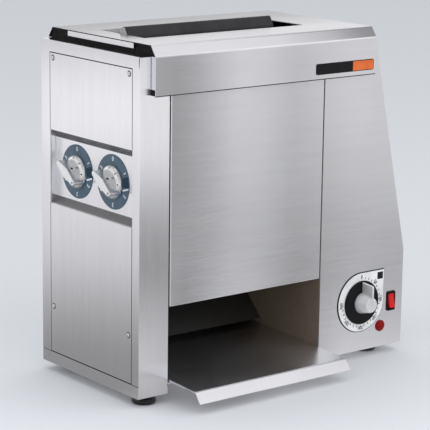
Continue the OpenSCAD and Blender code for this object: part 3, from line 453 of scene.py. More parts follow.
def welded(mesh):
    """A copy of a mesh with its points merged."""
    bm = bmesh.new()
    bm.from_mesh(mesh)
    bmesh.ops.remove_doubles(bm, verts=bm.verts[:], dist=MERGE)
    return bm


def merged(node):
    """A copy of a node's mesh with its points merged and its flat faces joined."""
    bm = welded(frame["nodes"][node].data)
    bmesh.ops.dissolve_limit(
        bm, angle_limit=math.radians(0.2), verts=bm.verts[:], edges=bm.edges[:])
    return bm


def round_edges(bm, edges, radius, steps):
    if edges:
        bmesh.ops.bevel(
            bm, geom=edges, offset=radius, segments=steps, profile=0.5, affect="EDGES",
            clamp_overlap=False, loop_slide=True)


def corners(bm, least):
    """The edges at which the surface turns by more than an angle in degrees."""
    return [e for e in bm.edges
            if len(e.link_faces) == 2 and e.calc_face_angle(0) > math.radians(least)]


def soften_rims(bm, radius):
    round_edges(bm, [e for e in corners(bm, 60) if e.is_convex], radius, 2)


def sheet_faces(bm, gauge, depth=2.6, least=0.95):
    """The faces with the sheet's back, within a depth in gauges, behind nearly all of them."""
    ground = BVHTree.FromBMesh(bm)
    whole, backed = {}, {}
    for loops in bm.calc_loop_triangles():
        face = loops[0].face
        first, second, third = (loop.vert.co for loop in loops)
        inside = (first + second + third) / 3 - face.normal * gauge * 0.01
        reach = ground.ray_cast(inside, -face.normal)[3]
        area = (second - first).cross(third - first).length
        whole[face] = whole.get(face, 0) + area
        if reach is not None and reach < depth * gauge:
            backed[face] = backed.get(face, 0) + area
    return {face for face, area in backed.items() if area > least * whole[face]}


def folded(node, bend):
    """A sheet-metal node with rounded folds and softened rims."""
    look = settings("steel")
    bm = merged(node)
    bm.faces.ensure_lookup_table()
    walls = sheet_faces(bm, look.gauge)
    folds = [e for e in corners(bm, 12) if all(face in walls for face in e.link_faces)]
    inner = [e for e in folds if not e.is_convex]
    round_edges(bm, [e for e in folds if e.is_convex], bend, 4)
    if bend > look.gauge:
        round_edges(bm, [e for e in inner if e.is_valid], bend - look.gauge, 3)
    soften_rims(bm, look.rim)
    return bm


def eased(node, radius, steps, least=30):
    """A node with all its corners rounded."""
    bm = merged(node)
    if radius:
        round_edges(bm, corners(bm, least), radius, steps)
    return bm


def round_cornered(node, radius):
    """A node with round corners on its outline as seen from the front, and soft rims."""
    bm = merged(node)
    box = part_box(node)

    def at_corner(vert):
        return all(min(abs(vert.co[i] - end[i]) for end in box) < MERGE for i in (0, 2))

    deep = [e for e in bm.edges if abs(e.verts[0].co.y - e.verts[1].co.y) > MERGE]
    round_edges(bm, [e for e in deep if all(at_corner(v) for v in e.verts)], radius, 5)
    soften_rims(bm, 0.3 * MM)
    return bm


def standing(centre, direction):
    """A place whose z axis points along a direction, with y as near to up as it can be."""
    out = direction.normalized()
    right = UP.cross(out).normalized()
    turn = Matrix((right, out.cross(right), out)).transposed().to_4x4()
    return Matrix.Translation(centre) @ turn


def around(turn, radius):
    """The place on a dial at an angle clockwise from its top, with its y axis outwards."""
    return Matrix.Rotation(-turn, 4, "Z") @ Matrix.Translation((0, radius, 0))


def placed(bm, place):
    bmesh.ops.transform(bm, matrix=place, verts=bm.verts[:])
    return bm


def arc(radius, start, end, steps, centre=(0, 0)):
    """Points along an arc, by angles from the first axis to the second."""
    turns = [start + (end - start) * k / steps for k in range(steps + 1)]
    return [(centre[0] + radius * math.cos(a), centre[1] + radius * math.sin(a)) for a in turns]


def skinned(rings):
    """A closed solid through rings of points, of which the first and last may be single points."""
    bm = bmesh.new()
    rows = [[bm.verts.new(point) for point in ring] for ring in rings]
    steps = max(len(row) for row in rows)
    for under, over in zip(rows, rows[1:]):
        for step in range(steps):
            after = (step + 1) % steps
            corner = [under[step % len(under)], under[after % len(under)],
                      over[after % len(over)], over[step % len(over)]]
            bm.faces.new(list(dict.fromkeys(corner)))
    for row in (rows[0], rows[-1]):
        if len(row) > 1:
            bm.faces.new(row)
    bmesh.ops.recalc_face_normals(bm, faces=bm.faces[:])
    return bm


def lathe(profile, steps, radius_at=None):
    """A closed solid about z from its profile of radii and heights, from low to high."""
    rings = []
    for index, (radius, height) in enumerate(profile):
        ring = []
        for step in range(steps if radius else 1):
            turn = math.tau * step / steps
            reach = radius_at(index, radius, turn) if radius_at else radius
            ring.append((reach * math.cos(turn), reach * math.sin(turn), height))
        rings.append(ring)
    return skinned(rings)


def prism(outline, base, top, bevel=0.0, steps=3):
    """A flat outline raised from a base height to a top, with its top edges rounded."""
    bm = skinned([[(x, y, z) for x, y in outline] for z in (base, top)])
    if bevel:
        rim = [e for e in bm.edges if all(abs(v.co.z - top) < 1e-9 for v in e.verts)]
        round_edges(bm, rim, bevel, steps)
    return bm


def slab(x, y, z, bevel=0.0):
    """A block between two values of x, of y and of z, with its top edges rounded."""
    return prism([(x[0], y[0]), (x[1], y[0]), (x[1], y[1]), (x[0], y[1])], *z, bevel)


def bar(half_width, half_height, thick):
    """A flat bar for a printed mark, centred on the origin."""
    return slab(*((-half, half) for half in (half_width, half_height, thick / 2)))


def tube(points, radius, sides=4):
    """A wire through points in the xz plane."""
    rings = []
    for i, point in enumerate(points):
        ahead = (points[min(i + 1, len(points) - 1)] - point).normalized()
        behind = (point - points[max(i - 1, 0)]).normalized()
        along = (ahead + behind).normalized()
        side = Vector((-along.z, 0, along.x))
        turns = [math.tau * (k + 0.5) / sides for k in range(sides)]
        rings.append([point + (side * math.cos(a) - FORWARD * math.sin(a)) * radius for a in turns])
    return skinned(rings)


def lettering(words, height, place):
    """Printed figures, centred on a place, made bolder by the marks' weight."""
    marks = settings("marks")
    capital = 0.72  # Height of a figure as a share of the font's size
    curve = bpy.data.curves.new("figures", "FONT")
    curve.body = words
    curve.size = height / capital
    curve.extrude = marks.ink / 2
    curve.offset = marks.weight
    curve.resolution_u = 4
    holder = linked("figures", curve)
    mesh = evaluated(holder)
    bpy.data.objects.remove(holder)
    bpy.data.curves.remove(curve)
    bm = welded(mesh)
    bpy.data.meshes.remove(mesh)
    spans = [[v.co[i] for v in bm.verts] for i in (0, 1)]
    centre = [(min(span) + max(span)) / 2 for span in spans]
    return placed(bm, place @ Matrix.Translation((-centre[0], -centre[1], 0)))


def numbered(words, height, step, radius, place):
    """Figures round a dial from its top, at steps of some degrees."""
    return [lettering(str(word), height, place @ around(math.radians(step) * k, radius))
            for k, word in enumerate(words)]


def joined(shapes):
    """One shape of several."""
    whole = bmesh.new()
    for bm in shapes:
        mesh = baked(bm)
        whole.from_mesh(mesh)
        bpy.data.meshes.remove(mesh)
    return whole


def islands(node):
    """The middle and the size of each separate solid in a node."""
    bm = welded(frame["nodes"][node].data)
    left = set(bm.verts)
    found = []
    while left:
        group, edge = set(), [left.pop()]
        while edge:
            vert = edge.pop()
            group.add(vert)
            near = {e.other_vert(vert) for e in vert.link_edges} & left
            left -= near
            edge += near
        spans = [[v.co[i] for v in group] for i in range(3)]
        lowest, highest = (Vector([end(span) for span in spans]) for end in (min, max))
        found.append(((lowest + highest) / 2, highest - lowest))
    bm.free()
    return sorted(found, key=lambda pair: tuple(pair[0]))


def piece(name, shape, material, body, slot, replaces=(), smooth=35, weighted=False):
    """Links a finished mesh as a piece that rides on a body."""
    mesh = baked(shape) if isinstance(shape, bmesh.types.BMesh) else shape
    mesh.name = name
    mesh.materials.clear()
    mesh.materials.append(material)
    mesh.polygons.foreach_set("use_smooth", [True] * len(mesh.polygons))
    mesh.set_sharp_from_angle(angle=math.radians(smooth))
    made = linked(name, mesh)
    if weighted:
        normals = made.modifiers.new("Flat faces", "WEIGHTED_NORMAL")
        normals.keep_sharp = True
    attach(made, body)
    if replaces:
        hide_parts(*replaces)
    return made


def stand_in(name, node, shape, material, **look):
    """Links a finished mesh as the piece that stands for a node."""
    return piece(name, shape, material, *home(node), (node,), **look)


def repaint(made, material, chosen):
    """Gives a piece's chosen faces another finish."""
    made.data.materials.append(material)
    for face in made.data.polygons:
        if chosen(face):
            face.material_index = 1


# Geometry Nodes

def growth(name, **sockets):
    """A Geometry Nodes tree with named inputs; returns the tree and its input node's outputs."""
    group = bpy.data.node_groups.new(name, "GeometryNodeTree")
    sockets = {"Geometry": "Geometry", "Shape": "Object", "Material": "Material", **sockets}
    for socket, kind in sockets.items():
        group.interface.new_socket(socket, in_out="INPUT", socket_type="NodeSocket" + kind)
    group.interface.new_socket("Geometry", in_out="OUTPUT", socket_type="NodeSocketGeometry")
    tree = Tree(group)
    return tree, tree.node("NodeGroupInput").outputs


def planted(tree, inputs, points, rotation):
    """Ends a tree: the shape on each point, made real, with its material."""
    shape = tree.made("GeometryNodeObjectInfo", {"Object": inputs["Shape"]}, "Geometry")
    copies = tree.made("GeometryNodeInstanceOnPoints", {
        "Points": points, "Instance": shape, "Rotation": rotation})
    real = tree.made("GeometryNodeRealizeInstances", {"Geometry": copies})
    dressed = tree.made("GeometryNodeSetMaterial", {
        "Geometry": real, "Material": inputs["Material"]})
    tree.feed(tree.node("NodeGroupOutput").inputs["Geometry"], dressed)
    return tree.tree


@lru_cache(None)
def fasteners_tree():
    """A shape on each point of a mesh, standing along the point's axis."""
    tree, inputs = growth("Fasteners")
    axis = tree.made("GeometryNodeInputNamedAttribute", {"Name": "axis"}, "Attribute",
                     data_type="FLOAT_VECTOR")
    turn = tree.made("FunctionNodeAlignRotationToVector", {"Vector": axis}, axis="Z")
    return planted(tree, inputs, inputs["Geometry"], turn)


@lru_cache(None)
def ring_tree():
    """A shape repeated clockwise round a circle in the xy plane, from the top."""
    tree, inputs = growth("Ring of marks", Count="Int", Radius="Float", Step="Float")
    turn = tree.times(tree.made("GeometryNodeInputIndex", {}), inputs["Step"])
    place = tree.made("ShaderNodeCombineXYZ", {
        "X": tree.times(tree.work("SINE", turn), inputs["Radius"]),
        "Y": tree.times(tree.work("COSINE", turn), inputs["Radius"])})
    points = tree.made("GeometryNodePoints", {"Count": inputs["Count"], "Position": place})
    spin = tree.made("ShaderNodeCombineXYZ", {"Z": tree.times(turn, -1.0)})
    return planted(tree, inputs, points, tree.made("FunctionNodeEulerToRotation", {"Euler": spin}))


@lru_cache(None)
def belt_tree():
    """Cross wires spaced evenly along a loop, each turned about x to follow it."""
    tree, inputs = growth("Wire belt", Count="Int")
    loop = tree.made("GeometryNodeMeshToCurve", {"Mesh": inputs["Geometry"]})
    spaced = tree.made("GeometryNodeCurveToPoints", {"Curve": loop, "Count": inputs["Count"]},
                       mode="COUNT").node.outputs
    turn = tree.made("FunctionNodeAlignRotationToVector", {"Vector": spaced["Tangent"]},
                     axis="Z", pivot_axis="X")
    return planted(tree, inputs, spaced["Points"], turn)


def grown(group, base, shape, material, **numbers):
    """The mesh that a tree makes of a base mesh and a shape."""
    pattern, host = linked("shape", baked(shape)), linked("host", base)
    modifier = host.modifiers.new(group.name, "NODES")
    modifier.node_group = group
    values = {"Shape": pattern, "Material": material, **numbers}
    for item in group.interface.items_tree:
        if item.item_type == "SOCKET" and item.in_out == "INPUT" and item.name in values:
            modifier[item.identifier] = values[item.name]
    result = evaluated(host)
    for holder in (host, pattern):
        bpy.data.objects.remove(holder)
    return result


def ring_of(shape, material, count, radius, step, place):
    """A ring of marks on a dial whose plane the place gives."""
    mesh = grown(ring_tree(), bpy.data.meshes.new("ring"), shape, material,
                 Count=count, Radius=radius, Step=step)
    mesh.transform(place)
    return mesh


def fastened(places, shape, material):
    """A shape at each place, standing along the place's axis."""
    mesh = bpy.data.meshes.new("places")
    mesh.from_pydata([spot for spot, _ in places], [], [])
    axes = mesh.attributes.new("axis", "FLOAT_VECTOR", "POINT")
    for index, (_, axis) in enumerate(places):
        axes.data[index].vector = axis
    return grown(fasteners_tree(), mesh, shape, material)


# Pieces

class Step:
    """What all the operators have in common."""

    bl_options = {"REGISTER", "UNDO"}


class TOASTER_OT_sheets(Step, bpy.types.Operator):
    """Makes the folded sheet-metal pieces of the casing, hood, panel and tray."""

    bl_idname = "toaster.sheets"
    bl_label = "Folded sheets"
    upright = ("left_casing", "upper_side_cover", "lower_side_cover", "control_recess",
               "right_side_cover", "rear_panel")
    level = ("hood", "front_panel", "right_front_panel", "tray", "base_pan")
    # Height that the slit at the casing's top takes up, and the least z of a sloped wall's normal
    slit_room, slope_least = 20 * MM, 0.3

    def execute(self, context):
        look = settings("steel")
        for grain, nodes in (("z", self.upright), ("x", self.level)):
            for node in nodes:
                shape = folded(node, look.tight_bend if node == "left_casing" else look.bend)
                if node == "left_casing":
                    self.parted(shape, high(node).z - self.slit_room)
                sheet = stand_in(node + "_sheet", node, shape, brushed_steel(grain), weighted=True)
                # Painted shade on the recess's sloped walls, from a darkened copy of the steel
                if node == "control_recess":
                    repaint(sheet, brushed_steel(grain, look.slope_depth),
                            lambda face: abs(face.normal.z) > self.slope_least)
                elif node == "hood":
                    repaint(sheet, ground_steel(),
                            lambda face: face.normal.y < -SQUARE_ON and face.center.y > 0)
        return {"FINISHED"}

    @staticmethod
    def parted(bm, height):
        """Parts the faces at a height, so that the slit above bends no normals below it."""
        everything = bm.verts[:] + bm.edges[:] + bm.faces[:]
        bmesh.ops.bisect_plane(bm, geom=everything, plane_co=(0, 0, height), plane_no=UP)


# Nodes that the other operators make
OWN_PIECES = set(TOASTER_OT_sheets.upright + TOASTER_OT_sheets.level) | {
    "casing_screws", "rubber_feet", "front_dial", "rear_dial", "front_knob", "rear_knob",
    "release_sheet", "front_belt", "rear_belt", "thermostat_scale", "thermostat_skirt",
    "thermostat_hub", "thermostat_backplate", "rocker", "rocker_housing", "indicator_lamp",
    "name_plate", "hood_seals"}


class TOASTER_OT_inner_works(Step, bpy.types.Operator):
    """Dresses the platen, chute, partitions, drive and the other inner pieces."""

    bl_idname = "toaster.inner_works"
    bl_label = "Inner works"
    chamber_walls = ("left_partition", "right_partition")
    guides = ("front_feed_guide", "rear_feed_guide")
    toothed = ("gear", "pinion", "cam")
    edge = 0.2 * MM

    def execute(self, context):
        looks = {
            "casing_steel": brushed_steel("z"),
            "fastener_steel": screw_steel(),
            "bush_bronze": plain_metal("sintered_bronze", (0.42, 0.26, 0.12), 0.42, 0.2),
            "platen_aluminium": plain_metal("milled_aluminium", (0.46, 0.46, 0.47), 0.4),
            "heater_sheath": plain_metal("oxidised_sheath", (0.2, 0.17, 0.15), 0.5, 0.25),
            "bracket_steel": plain_metal("zinc_plate", (0.55, 0.56, 0.57), 0.36),
            "chute_black": moulded("chute_coat", (0.02, 0.019, 0.018), 0.4, shine=0.3),
            "motor_grey": moulded("motor_enamel", (0.13, 0.14, 0.15), 0.45),
            "switch_black": moulded("body_plastic", (0.015, 0.015, 0.016), 0.4),
            "gland_black": moulded("gland_nylon", (0.018, 0.018, 0.018), 0.5),
            "block_ivory": moulded("ceramic_block", (0.66, 0.6, 0.48), 0.5),
            "seal_rubber": rubber(),
            "shaft_steel": plain_metal("ground_shaft", (0.6, 0.6, 0.61), 0.22, 0.05),
            "gear_brass": plain_metal("cut_brass", (0.62, 0.45, 0.18), 0.3, 0.12),
        }
        # Partly heat tint and partly painted reflection of the food in the chute: a brown finish on the
        # partitions' side faces
        tint_and_reflection = plain_metal("heat_tinted_steel", (0.62, 0.5, 0.38), 0.34, 0.05, 500, 0.02, 0.7)
        for name, slot in SLOTS.items():
            if name in OWN_PIECES:
                continue
            soft_edge = 0 if any(kind in name for kind in self.toothed) else self.edge
            look = ground_steel() if name in self.guides else looks[slot]
            made = stand_in("finished_" + name, name, eased(name, soft_edge, 1), look)
            if name in self.chamber_walls:
                repaint(made, tint_and_reflection, lambda face: abs(face.normal.x) > SQUARE_ON)
        return {"FINISHED"}


class TOASTER_OT_seams_and_feet(Step, bpy.types.Operator):
    """Lays black lines of painted shadow along the side covers' seams, and makes the round rubber feet."""

    bl_idname = "toaster.seams_and_feet"
    bl_label = "Seam shadows and feet"
    # Width of a level and of an upright line of painted shadow, the gap beside a cover, and how far a line stands
    # out
    level_w, upright_w, gap, proud = 1.5 * MM, 1.2 * MM, 0.8 * MM, 0.05 * MM
    # Thickness of the rail along the bottom of the left side, and the rounding of its top
    rail_t, rail_edge = 0.6 * MM, 0.3 * MM
    # A foot's profile, in shares of its radius and of its height
    foot_profile = ((0.8, 0), (0.94, 0.05), (1, 0.2), (0.99, 0.42), (0.9, 0.6), (0.68, 0.7),
                    (0.62, 0.8), (0.62, 1))

    def execute(self, context):
        shadow_lines = []
        for cover, side, outward in (("upper_side_cover", high, 1), ("lower_side_cover", low, -1)):
            lowest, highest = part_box(cover)
            edge = side(cover).z + outward * self.gap
            shadow_lines.append(self.bead(lowest.x, (lowest.y - self.gap, highest.y + self.gap),
                                   sorted((edge, edge - outward * self.level_w))))
            for seam, inward in ((lowest.y - self.gap, 1), (highest.y + self.gap, -1)):
                shadow_lines.append(self.bead(lowest.x, sorted((seam, seam + inward * self.upright_w)),
                                       (lowest.z, highest.z)))
        cover_low, cover_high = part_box("lower_side_cover")
        lowest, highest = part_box("left_casing")
        rail_top = cover_low.z - self.gap
        rail = slab((lowest.x - self.rail_t, lowest.x), (lowest.y, highest.y),
                    (lowest.z, rail_top), self.rail_edge)
        # Painted shadow lines along the rail's top, beside the lower cover
        for across in ((lowest.y, cover_low.y), (cover_high.y, highest.y)):
            shadow_lines.append(self.bead(lowest.x, across, (rail_top, cover_low.z - self.gap / 4)))
        piece("cover_seams", joined(shadow_lines), rubber(), "frame", "seal_rubber")
        piece("base_rail", rail, brushed_steel("z"), *home("left_casing"), weighted=True)
        feet = islands("rubber_feet")
        size = feet[0][1]
        foot = lathe([(r * size.x / 2, h * size.z) for r, h in self.foot_profile], 48)
        gloss = moulded("foot_rubber", (0.008, 0.008, 0.009), 0.3, 900, 0.1, 0.4)
        mesh = fastened([(spot - UP * size.z / 2, UP) for spot, _ in feet], foot, gloss)
        stand_in("round_feet", "rubber_feet", mesh, gloss)
        return {"FINISHED"}

    def bead(self, face, across, upward):
        """A flat black line of painted shadow on the left side, between two values of y and two of z."""
        return slab((face - self.proud, face + self.gap), across, upward)


class TOASTER_OT_screws(Step, bpy.types.Operator):
    """Plants the casing's screws, each in a black ring of painted shadow round its hole."""

    bl_idname = "toaster.screws"
    bl_label = "Screws"
    # Height of a head, how far its foot is sunk, and the width of the painted shadow ring round it
    head, sunk, hole_edge = 1.8 * MM, 0.2 * MM, 1.3 * MM
    # A head's profile in shares of its radius and of its height, down into its socket
    dome = ((1, 0.25), (0.88, 0.68), (0.68, 0.94), (0.56, 1), (0.4, 1), (0.4, 0.5), (0, 0.45))
    # Row of the profile from which it is a hexagon
    socket_from = 6

    def execute(self, context):
        places = []
        for spot, size in islands("casing_screws"):
            long = max(range(3), key=lambda i: size[i])
            axis = Vector([math.copysign(1, spot[i]) if i == long else 0.0 for i in range(3)])
            places.append((spot + axis * (size[long] / 2 - self.head), axis))
            radius = min(size) / 2
        ring = radius + self.hole_edge
        hole_shade = lathe([(ring, -self.sunk), (ring, 0.05 * MM), (radius * 0.8, 0.08 * MM)], 24)
        for name, shape, material, stands_for in (
                ("casing_screw_heads", self.button(radius), screw_steel(), ("casing_screws",)),
                ("casing_screw_holes", hole_shade, dark_pit("screw_hole"), ())):
            mesh = fastened(places, shape, material)
            piece(name, mesh, material, *home("casing_screws"), stands_for)
        return {"FINISHED"}

    def button(self, radius):
        """A button head with a hexagon socket, standing on z = 0."""
        def hexagon(index, reach, turn):
            if index < self.socket_from:
                return reach
            return reach / math.cos((turn + math.pi / 6) % (math.pi / 3) - math.pi / 6)

        foot = [(radius * 0.96, -self.sunk), (radius, 0.1 * MM)]
        return lathe(foot + [(r * radius, h * self.head) for r, h in self.dome], 24, hexagon)


class TOASTER_OT_gap_dials(Step, bpy.types.Operator):
    """Makes the two numbered dials and their wing knobs."""

    bl_idname = "toaster.gap_dials"
    bl_label = "Gap dials"
    # A dial's dash: its half sizes, its angle in degrees, its radius, and its lean in degrees
    dash_half, dash_turn, dash_at, dash_lean = (1.3 * MM, 8 * MM), 102, 35.3 * MM, 29
    # Painted shadow of the knob's wing on a dial: its radii, and its angles in degrees
    zone_inner, zone_outer, zone_start, zone_end = 28 * MM, 43.4 * MM, 70, 97
    # Painted shade of the pits on the base's sloped rim: count, radius, place, lean in degrees, and depth below
    # its top
    pit_count, pit_r, pit_at, pit_lean, pit_drop = 8, 1.4 * MM, 23.2 * MM, 27, 1.1 * MM
    # Painted shade of the dot near the wing's lower end and of the hole of its set screw: the radius and the place
    # of each
    dot_r, dot_at, hole_r, hole_up = 1.7 * MM, 23.5 * MM, 2.2 * MM, 5 * MM
    # Height of the base above the dial, half the wing's width, and the wing's turn from the top
    base_rise, wing_half, wing_turn = 8.5 * MM, 8.8 * MM, math.radians(122)
    # The base's profile in millimetres, its rounding, and the wing's ends, half length and rounding
    base_profile, base_edge = ((27, 0), (27, 3), (25, 6), (21, 8), (0, 8)), 0.7 * MM
    wing_end, wing_reach, wing_edge = 4.5 * MM, 28.5 * MM, 1.1 * MM

    def execute(self, context):
        marks = settings("marks")
        paint = moulded("dial_paint", tuple(settings("colours").dial), 0.38, 900, shine=0.3)
        print_white = moulded("dial_print", (0.8, 0.82, 0.83), 0.5)
        # Dark navy paint for the painted shadow that the knob's wing casts on a dial
        shadow_paint = moulded("dial_zone_paint", (0.012, 0.04, 0.068), 0.4, 900, shine=0.2)
        for side in ("front", "rear"):
            dial, knob = side + "_dial", side + "_knob"
            stand_in(dial + "_plate", dial, eased(dial, 0.4 * MM, 3), paint)
            place = standing(Vector((low(dial).x, *middle(dial).yz)), LEFTWARD)
            figures = numbered(range(6), marks.dial_number, 60, marks.dial_number_at, place)
            lean = Matrix.Rotation(math.radians(self.dash_lean), 4, "Z")
            figures.append(placed(bar(*self.dash_half, marks.ink), place @ around(
                math.radians(self.dash_turn), self.dash_at) @ lean))
            piece(dial + "_numbers", joined(figures), print_white, "frame", "scale_white")
            piece(dial + "_zone", placed(self.zone(marks.ink), place), shadow_paint, "frame",
                  "dial_blue")
            stand_in(knob + "_wing", knob, self.knob_shape(side), satin_metal(), weighted=True)
            self.pits(side, low(dial).x - self.base_rise)
        return {"FINISHED"}

    @staticmethod
    def on_axis(side, x):
        """The point on a knob's axis at a value of x."""
        return Vector((x, *joint_place(side + "_adjuster_turn").yz))

    def knob_shape(self, side):
        """A knob's turned base with its wing across it."""
        lowest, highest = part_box(side + "_knob")
        place = standing(self.on_axis(side, highest.x), LEFTWARD)
        base = lathe([(r * MM, h * MM) for r, h in self.base_profile], 96)
        round_edges(base, corners(base, 12), self.base_edge, 3)
        wing = prism(self.wing_outline(), MM, highest.x - lowest.x, self.wing_edge, 4)
        return joined([placed(base, place), placed(wing, place @ around(self.wing_turn, 0))])

    def wing_outline(self):
        """The wing along y, widest at its middle, with round ends."""
        centre = self.wing_reach - self.wing_end
        lean = math.acos((self.wing_half - self.wing_end) / centre)
        outline, start = [], math.pi / 2 - lean
        for turn, radius, shift in (
                (2 * lean, self.wing_end, centre), (math.pi - 2 * lean, self.wing_half, 0),
                (2 * lean, self.wing_end, -centre), (math.pi - 2 * lean, self.wing_half, 0)):
            outline += arc(radius, start, start + turn, 16, (0, shift))
            start += turn
        return outline

    def zone(self, thick):
        """The painted shadow of the knob's wing on a dial, between two of its angles."""
        start, end = (math.radians(90 - turn) for turn in (self.zone_end, self.zone_start))
        outline = arc(self.zone_outer, start, end, 12) + arc(self.zone_inner, end, start, 12)
        return prism(outline, -thick / 2, thick / 3)

    def pits(self, side, base):
        """Black discs of painted shade for the pits round the knob's base, a dot on its wing and a hole in the
        wing's side.
        """
        dark = dark_pit("knob_pits")
        body, _ = home(side + "_knob")
        rim = standing(self.on_axis(side, base + self.pit_drop), LEFTWARD)
        lean = Matrix.Rotation(-math.radians(self.pit_lean), 4, "X")
        ring = ring_of(placed(self.spot(self.pit_r), lean), dark, self.pit_count, self.pit_at,
                       math.tau / self.pit_count, rim)
        piece(side + "_knob_pits", ring, dark, body, "skirt_black")
        top = standing(self.on_axis(side, low(side + "_knob").x), LEFTWARD)
        dot = placed(self.spot(self.dot_r), top @ around(self.wing_turn, self.dot_at))
        flank = self.wing_turn - math.pi / 2
        out = Vector((0, -math.sin(flank), math.cos(flank)))
        inset = self.on_axis(side, base - self.hole_up) + out * self.wing_half
        hole_shade = placed(self.spot(self.hole_r), standing(inset, out))
        piece(side + "_knob_marks", joined([dot, hole_shade]), dark, body, "skirt_black")

    @staticmethod
    def spot(radius):
        """A low black disc of painted shade, standing in for a hollow."""
        return lathe([(radius, -0.4 * MM), (radius, 0.04 * MM), (0, 0.05 * MM)], 16)


class TOASTER_OT_thermostat(Step, bpy.types.Operator):
    """Makes the thermostat's printed dial plate and its knob."""

    bl_idname = "toaster.thermostat"
    bl_label = "Thermostat"
    # The printed square's half sizes and its place from the knob's axis
    square_half, square_at = (6.4 * MM, 6.2 * MM), (42.4 * MM, 41.5 * MM, 0)
    # A tick's half sizes, how far inside the numbers the ticks stand, their count and their step
    tick_half, tick_inset, tick_count = (0.7 * MM, 1.7 * MM), 2.8 * MM, 25
    tick_step = math.radians(11.25)

    def execute(self, context):
        marks = settings("marks")
        ink = moulded("scale_ink", (0.012, 0.012, 0.013), 0.5, shine=0.2)
        hub = plain_metal("satin_turned", (0.88, 0.88, 0.89), 0.36, 0.03, 900, 0.02, 0.55)
        enamel = moulded("scale_enamel", tuple(settings("colours").scale), 0.3)
        for node, material, ease in (
                ("thermostat_backplate", black_plastic("plate_enamel", 0.32), 0.3 * MM),
                ("thermostat_scale", enamel, 0.15 * MM),
                ("thermostat_skirt", black_plastic("skirt_plastic", 0.36), 0.6 * MM),
                ("thermostat_hub", hub, 0.9 * MM)):
            stand_in(node + "_body", node, eased(node, ease, 3, 25), material, weighted=True)
        axis = joint_place("thermostat_turn")
        place = standing(Vector((axis.x, low("thermostat_scale").y, axis.z)), FORWARD)
        figures = numbered(range(0, 301, 50), marks.scale_number, 45, marks.scale_number_at, place)
        figures.append(placed(bar(*self.square_half, marks.ink),
                              place @ Matrix.Translation(self.square_at)))
        piece("thermostat_numbers", joined(figures), ink, "frame", "scale_white")
        mesh = ring_of(bar(*self.tick_half, marks.ink), ink, self.tick_count,
                       marks.scale_number_at - self.tick_inset, self.tick_step, place)
        piece("thermostat_ticks", mesh, ink, "frame", "scale_white")
        return {"FINISHED"}


class TOASTER_OT_switch(Step, bpy.types.Operator):
    """Makes the rocker switch and the lamp."""

    bl_idname = "toaster.switch"
    bl_label = "Switch and lamp"
    bezel_corner, rocker_edge, lamp_edge = 3 * MM, 1.0 * MM, 0.4 * MM

    def execute(self, context):
        tones = settings("colours")
        black = black_plastic("switch_plastic", 0.4)
        red = moulded("rocker_gloss", tuple(tones.rocker), 0.22, 400, 0.03, 0.25)
        lens = moulded("lamp_lens", tuple(tones.lamp), 0.2, 300, 0.02, 0.15)
        for node, shape, material in (
                ("rocker_housing", round_cornered("rocker_housing", self.bezel_corner), black),
                ("rocker", eased("rocker", self.rocker_edge, 3), red),
                ("indicator_lamp", eased("indicator_lamp", self.lamp_edge, 3), lens)):
            stand_in(node + "_body", node, shape, material, weighted=True)
        return {"FINISHED"}


class TOASTER_OT_release_cloth(Step, bpy.types.Operator):
    """Hangs the coated cloth over the platen."""

    bl_idname = "toaster.release_cloth"
    bl_label = "Release cloth"
    # Faces across the cloth, and the length of a face along it
    columns, row_step = 60, 3 * MM
    # Two ripples: waves across the cloth in radians, and along its height in radians a metre
    ripples = ((19, 31), (47, -53))

    def execute(self, context):
        look = settings("cloth")
        lowest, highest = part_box("release_sheet")
        platen_low, platen_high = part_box("heater_platen")
        half, centre = (highest.y - lowest.y) / 2, (highest.y + lowest.y) / 2
        width = highest.x - lowest.x
        slack = half - (platen_high.y - platen_low.y) / 2
        top, crown, run = platen_high.z + slack / 2, (look.crown + slack) / 2, half - slack / 2
        path = self.spaced([(run, lowest.z), (run, platen_high.z - look.ridge), (crown, top)])
        bend = [(crown * math.cos(a), top + 0.25 * slack * math.sin(a))
                for a in (math.radians(30 * k) for k in range(1, 6))]
        path = path + bend + [(-y, z) for y, z in reversed(path)]
        bm = bmesh.new()
        rows = []
        for y, z in path:
            row = []
            for column in range(self.columns + 1):
                across = column / self.columns
                wave = sum(math.sin(across * a + z * b) for a, b in self.ripples) / 2
                push = look.ripple * wave * (1 if y > 0 else -1)
                row.append(bm.verts.new((lowest.x + across * width, centre + y + push, z)))
            rows.append(row)
        for first, second in zip(rows, rows[1:]):
            for k in range(self.columns):
                bm.faces.new((first[k], first[k + 1], second[k + 1], second[k]))
        bmesh.ops.recalc_face_normals(bm, faces=bm.faces[:])
        sheet = stand_in("release_cloth", "release_sheet", bm, coated_cloth(), smooth=60)
        return {"FINISHED"}

    def spaced(self, ends):
        """Points along straight runs, a row's step apart."""
        points = []
        for first, second in zip(ends, ends[1:]):
            first, second = Vector(first), Vector(second)
            count = max(1, round((second - first).length / self.row_step))
            points += [tuple(first.lerp(second, k / count)) for k in range(count)]
        return points + [ends[-1]]


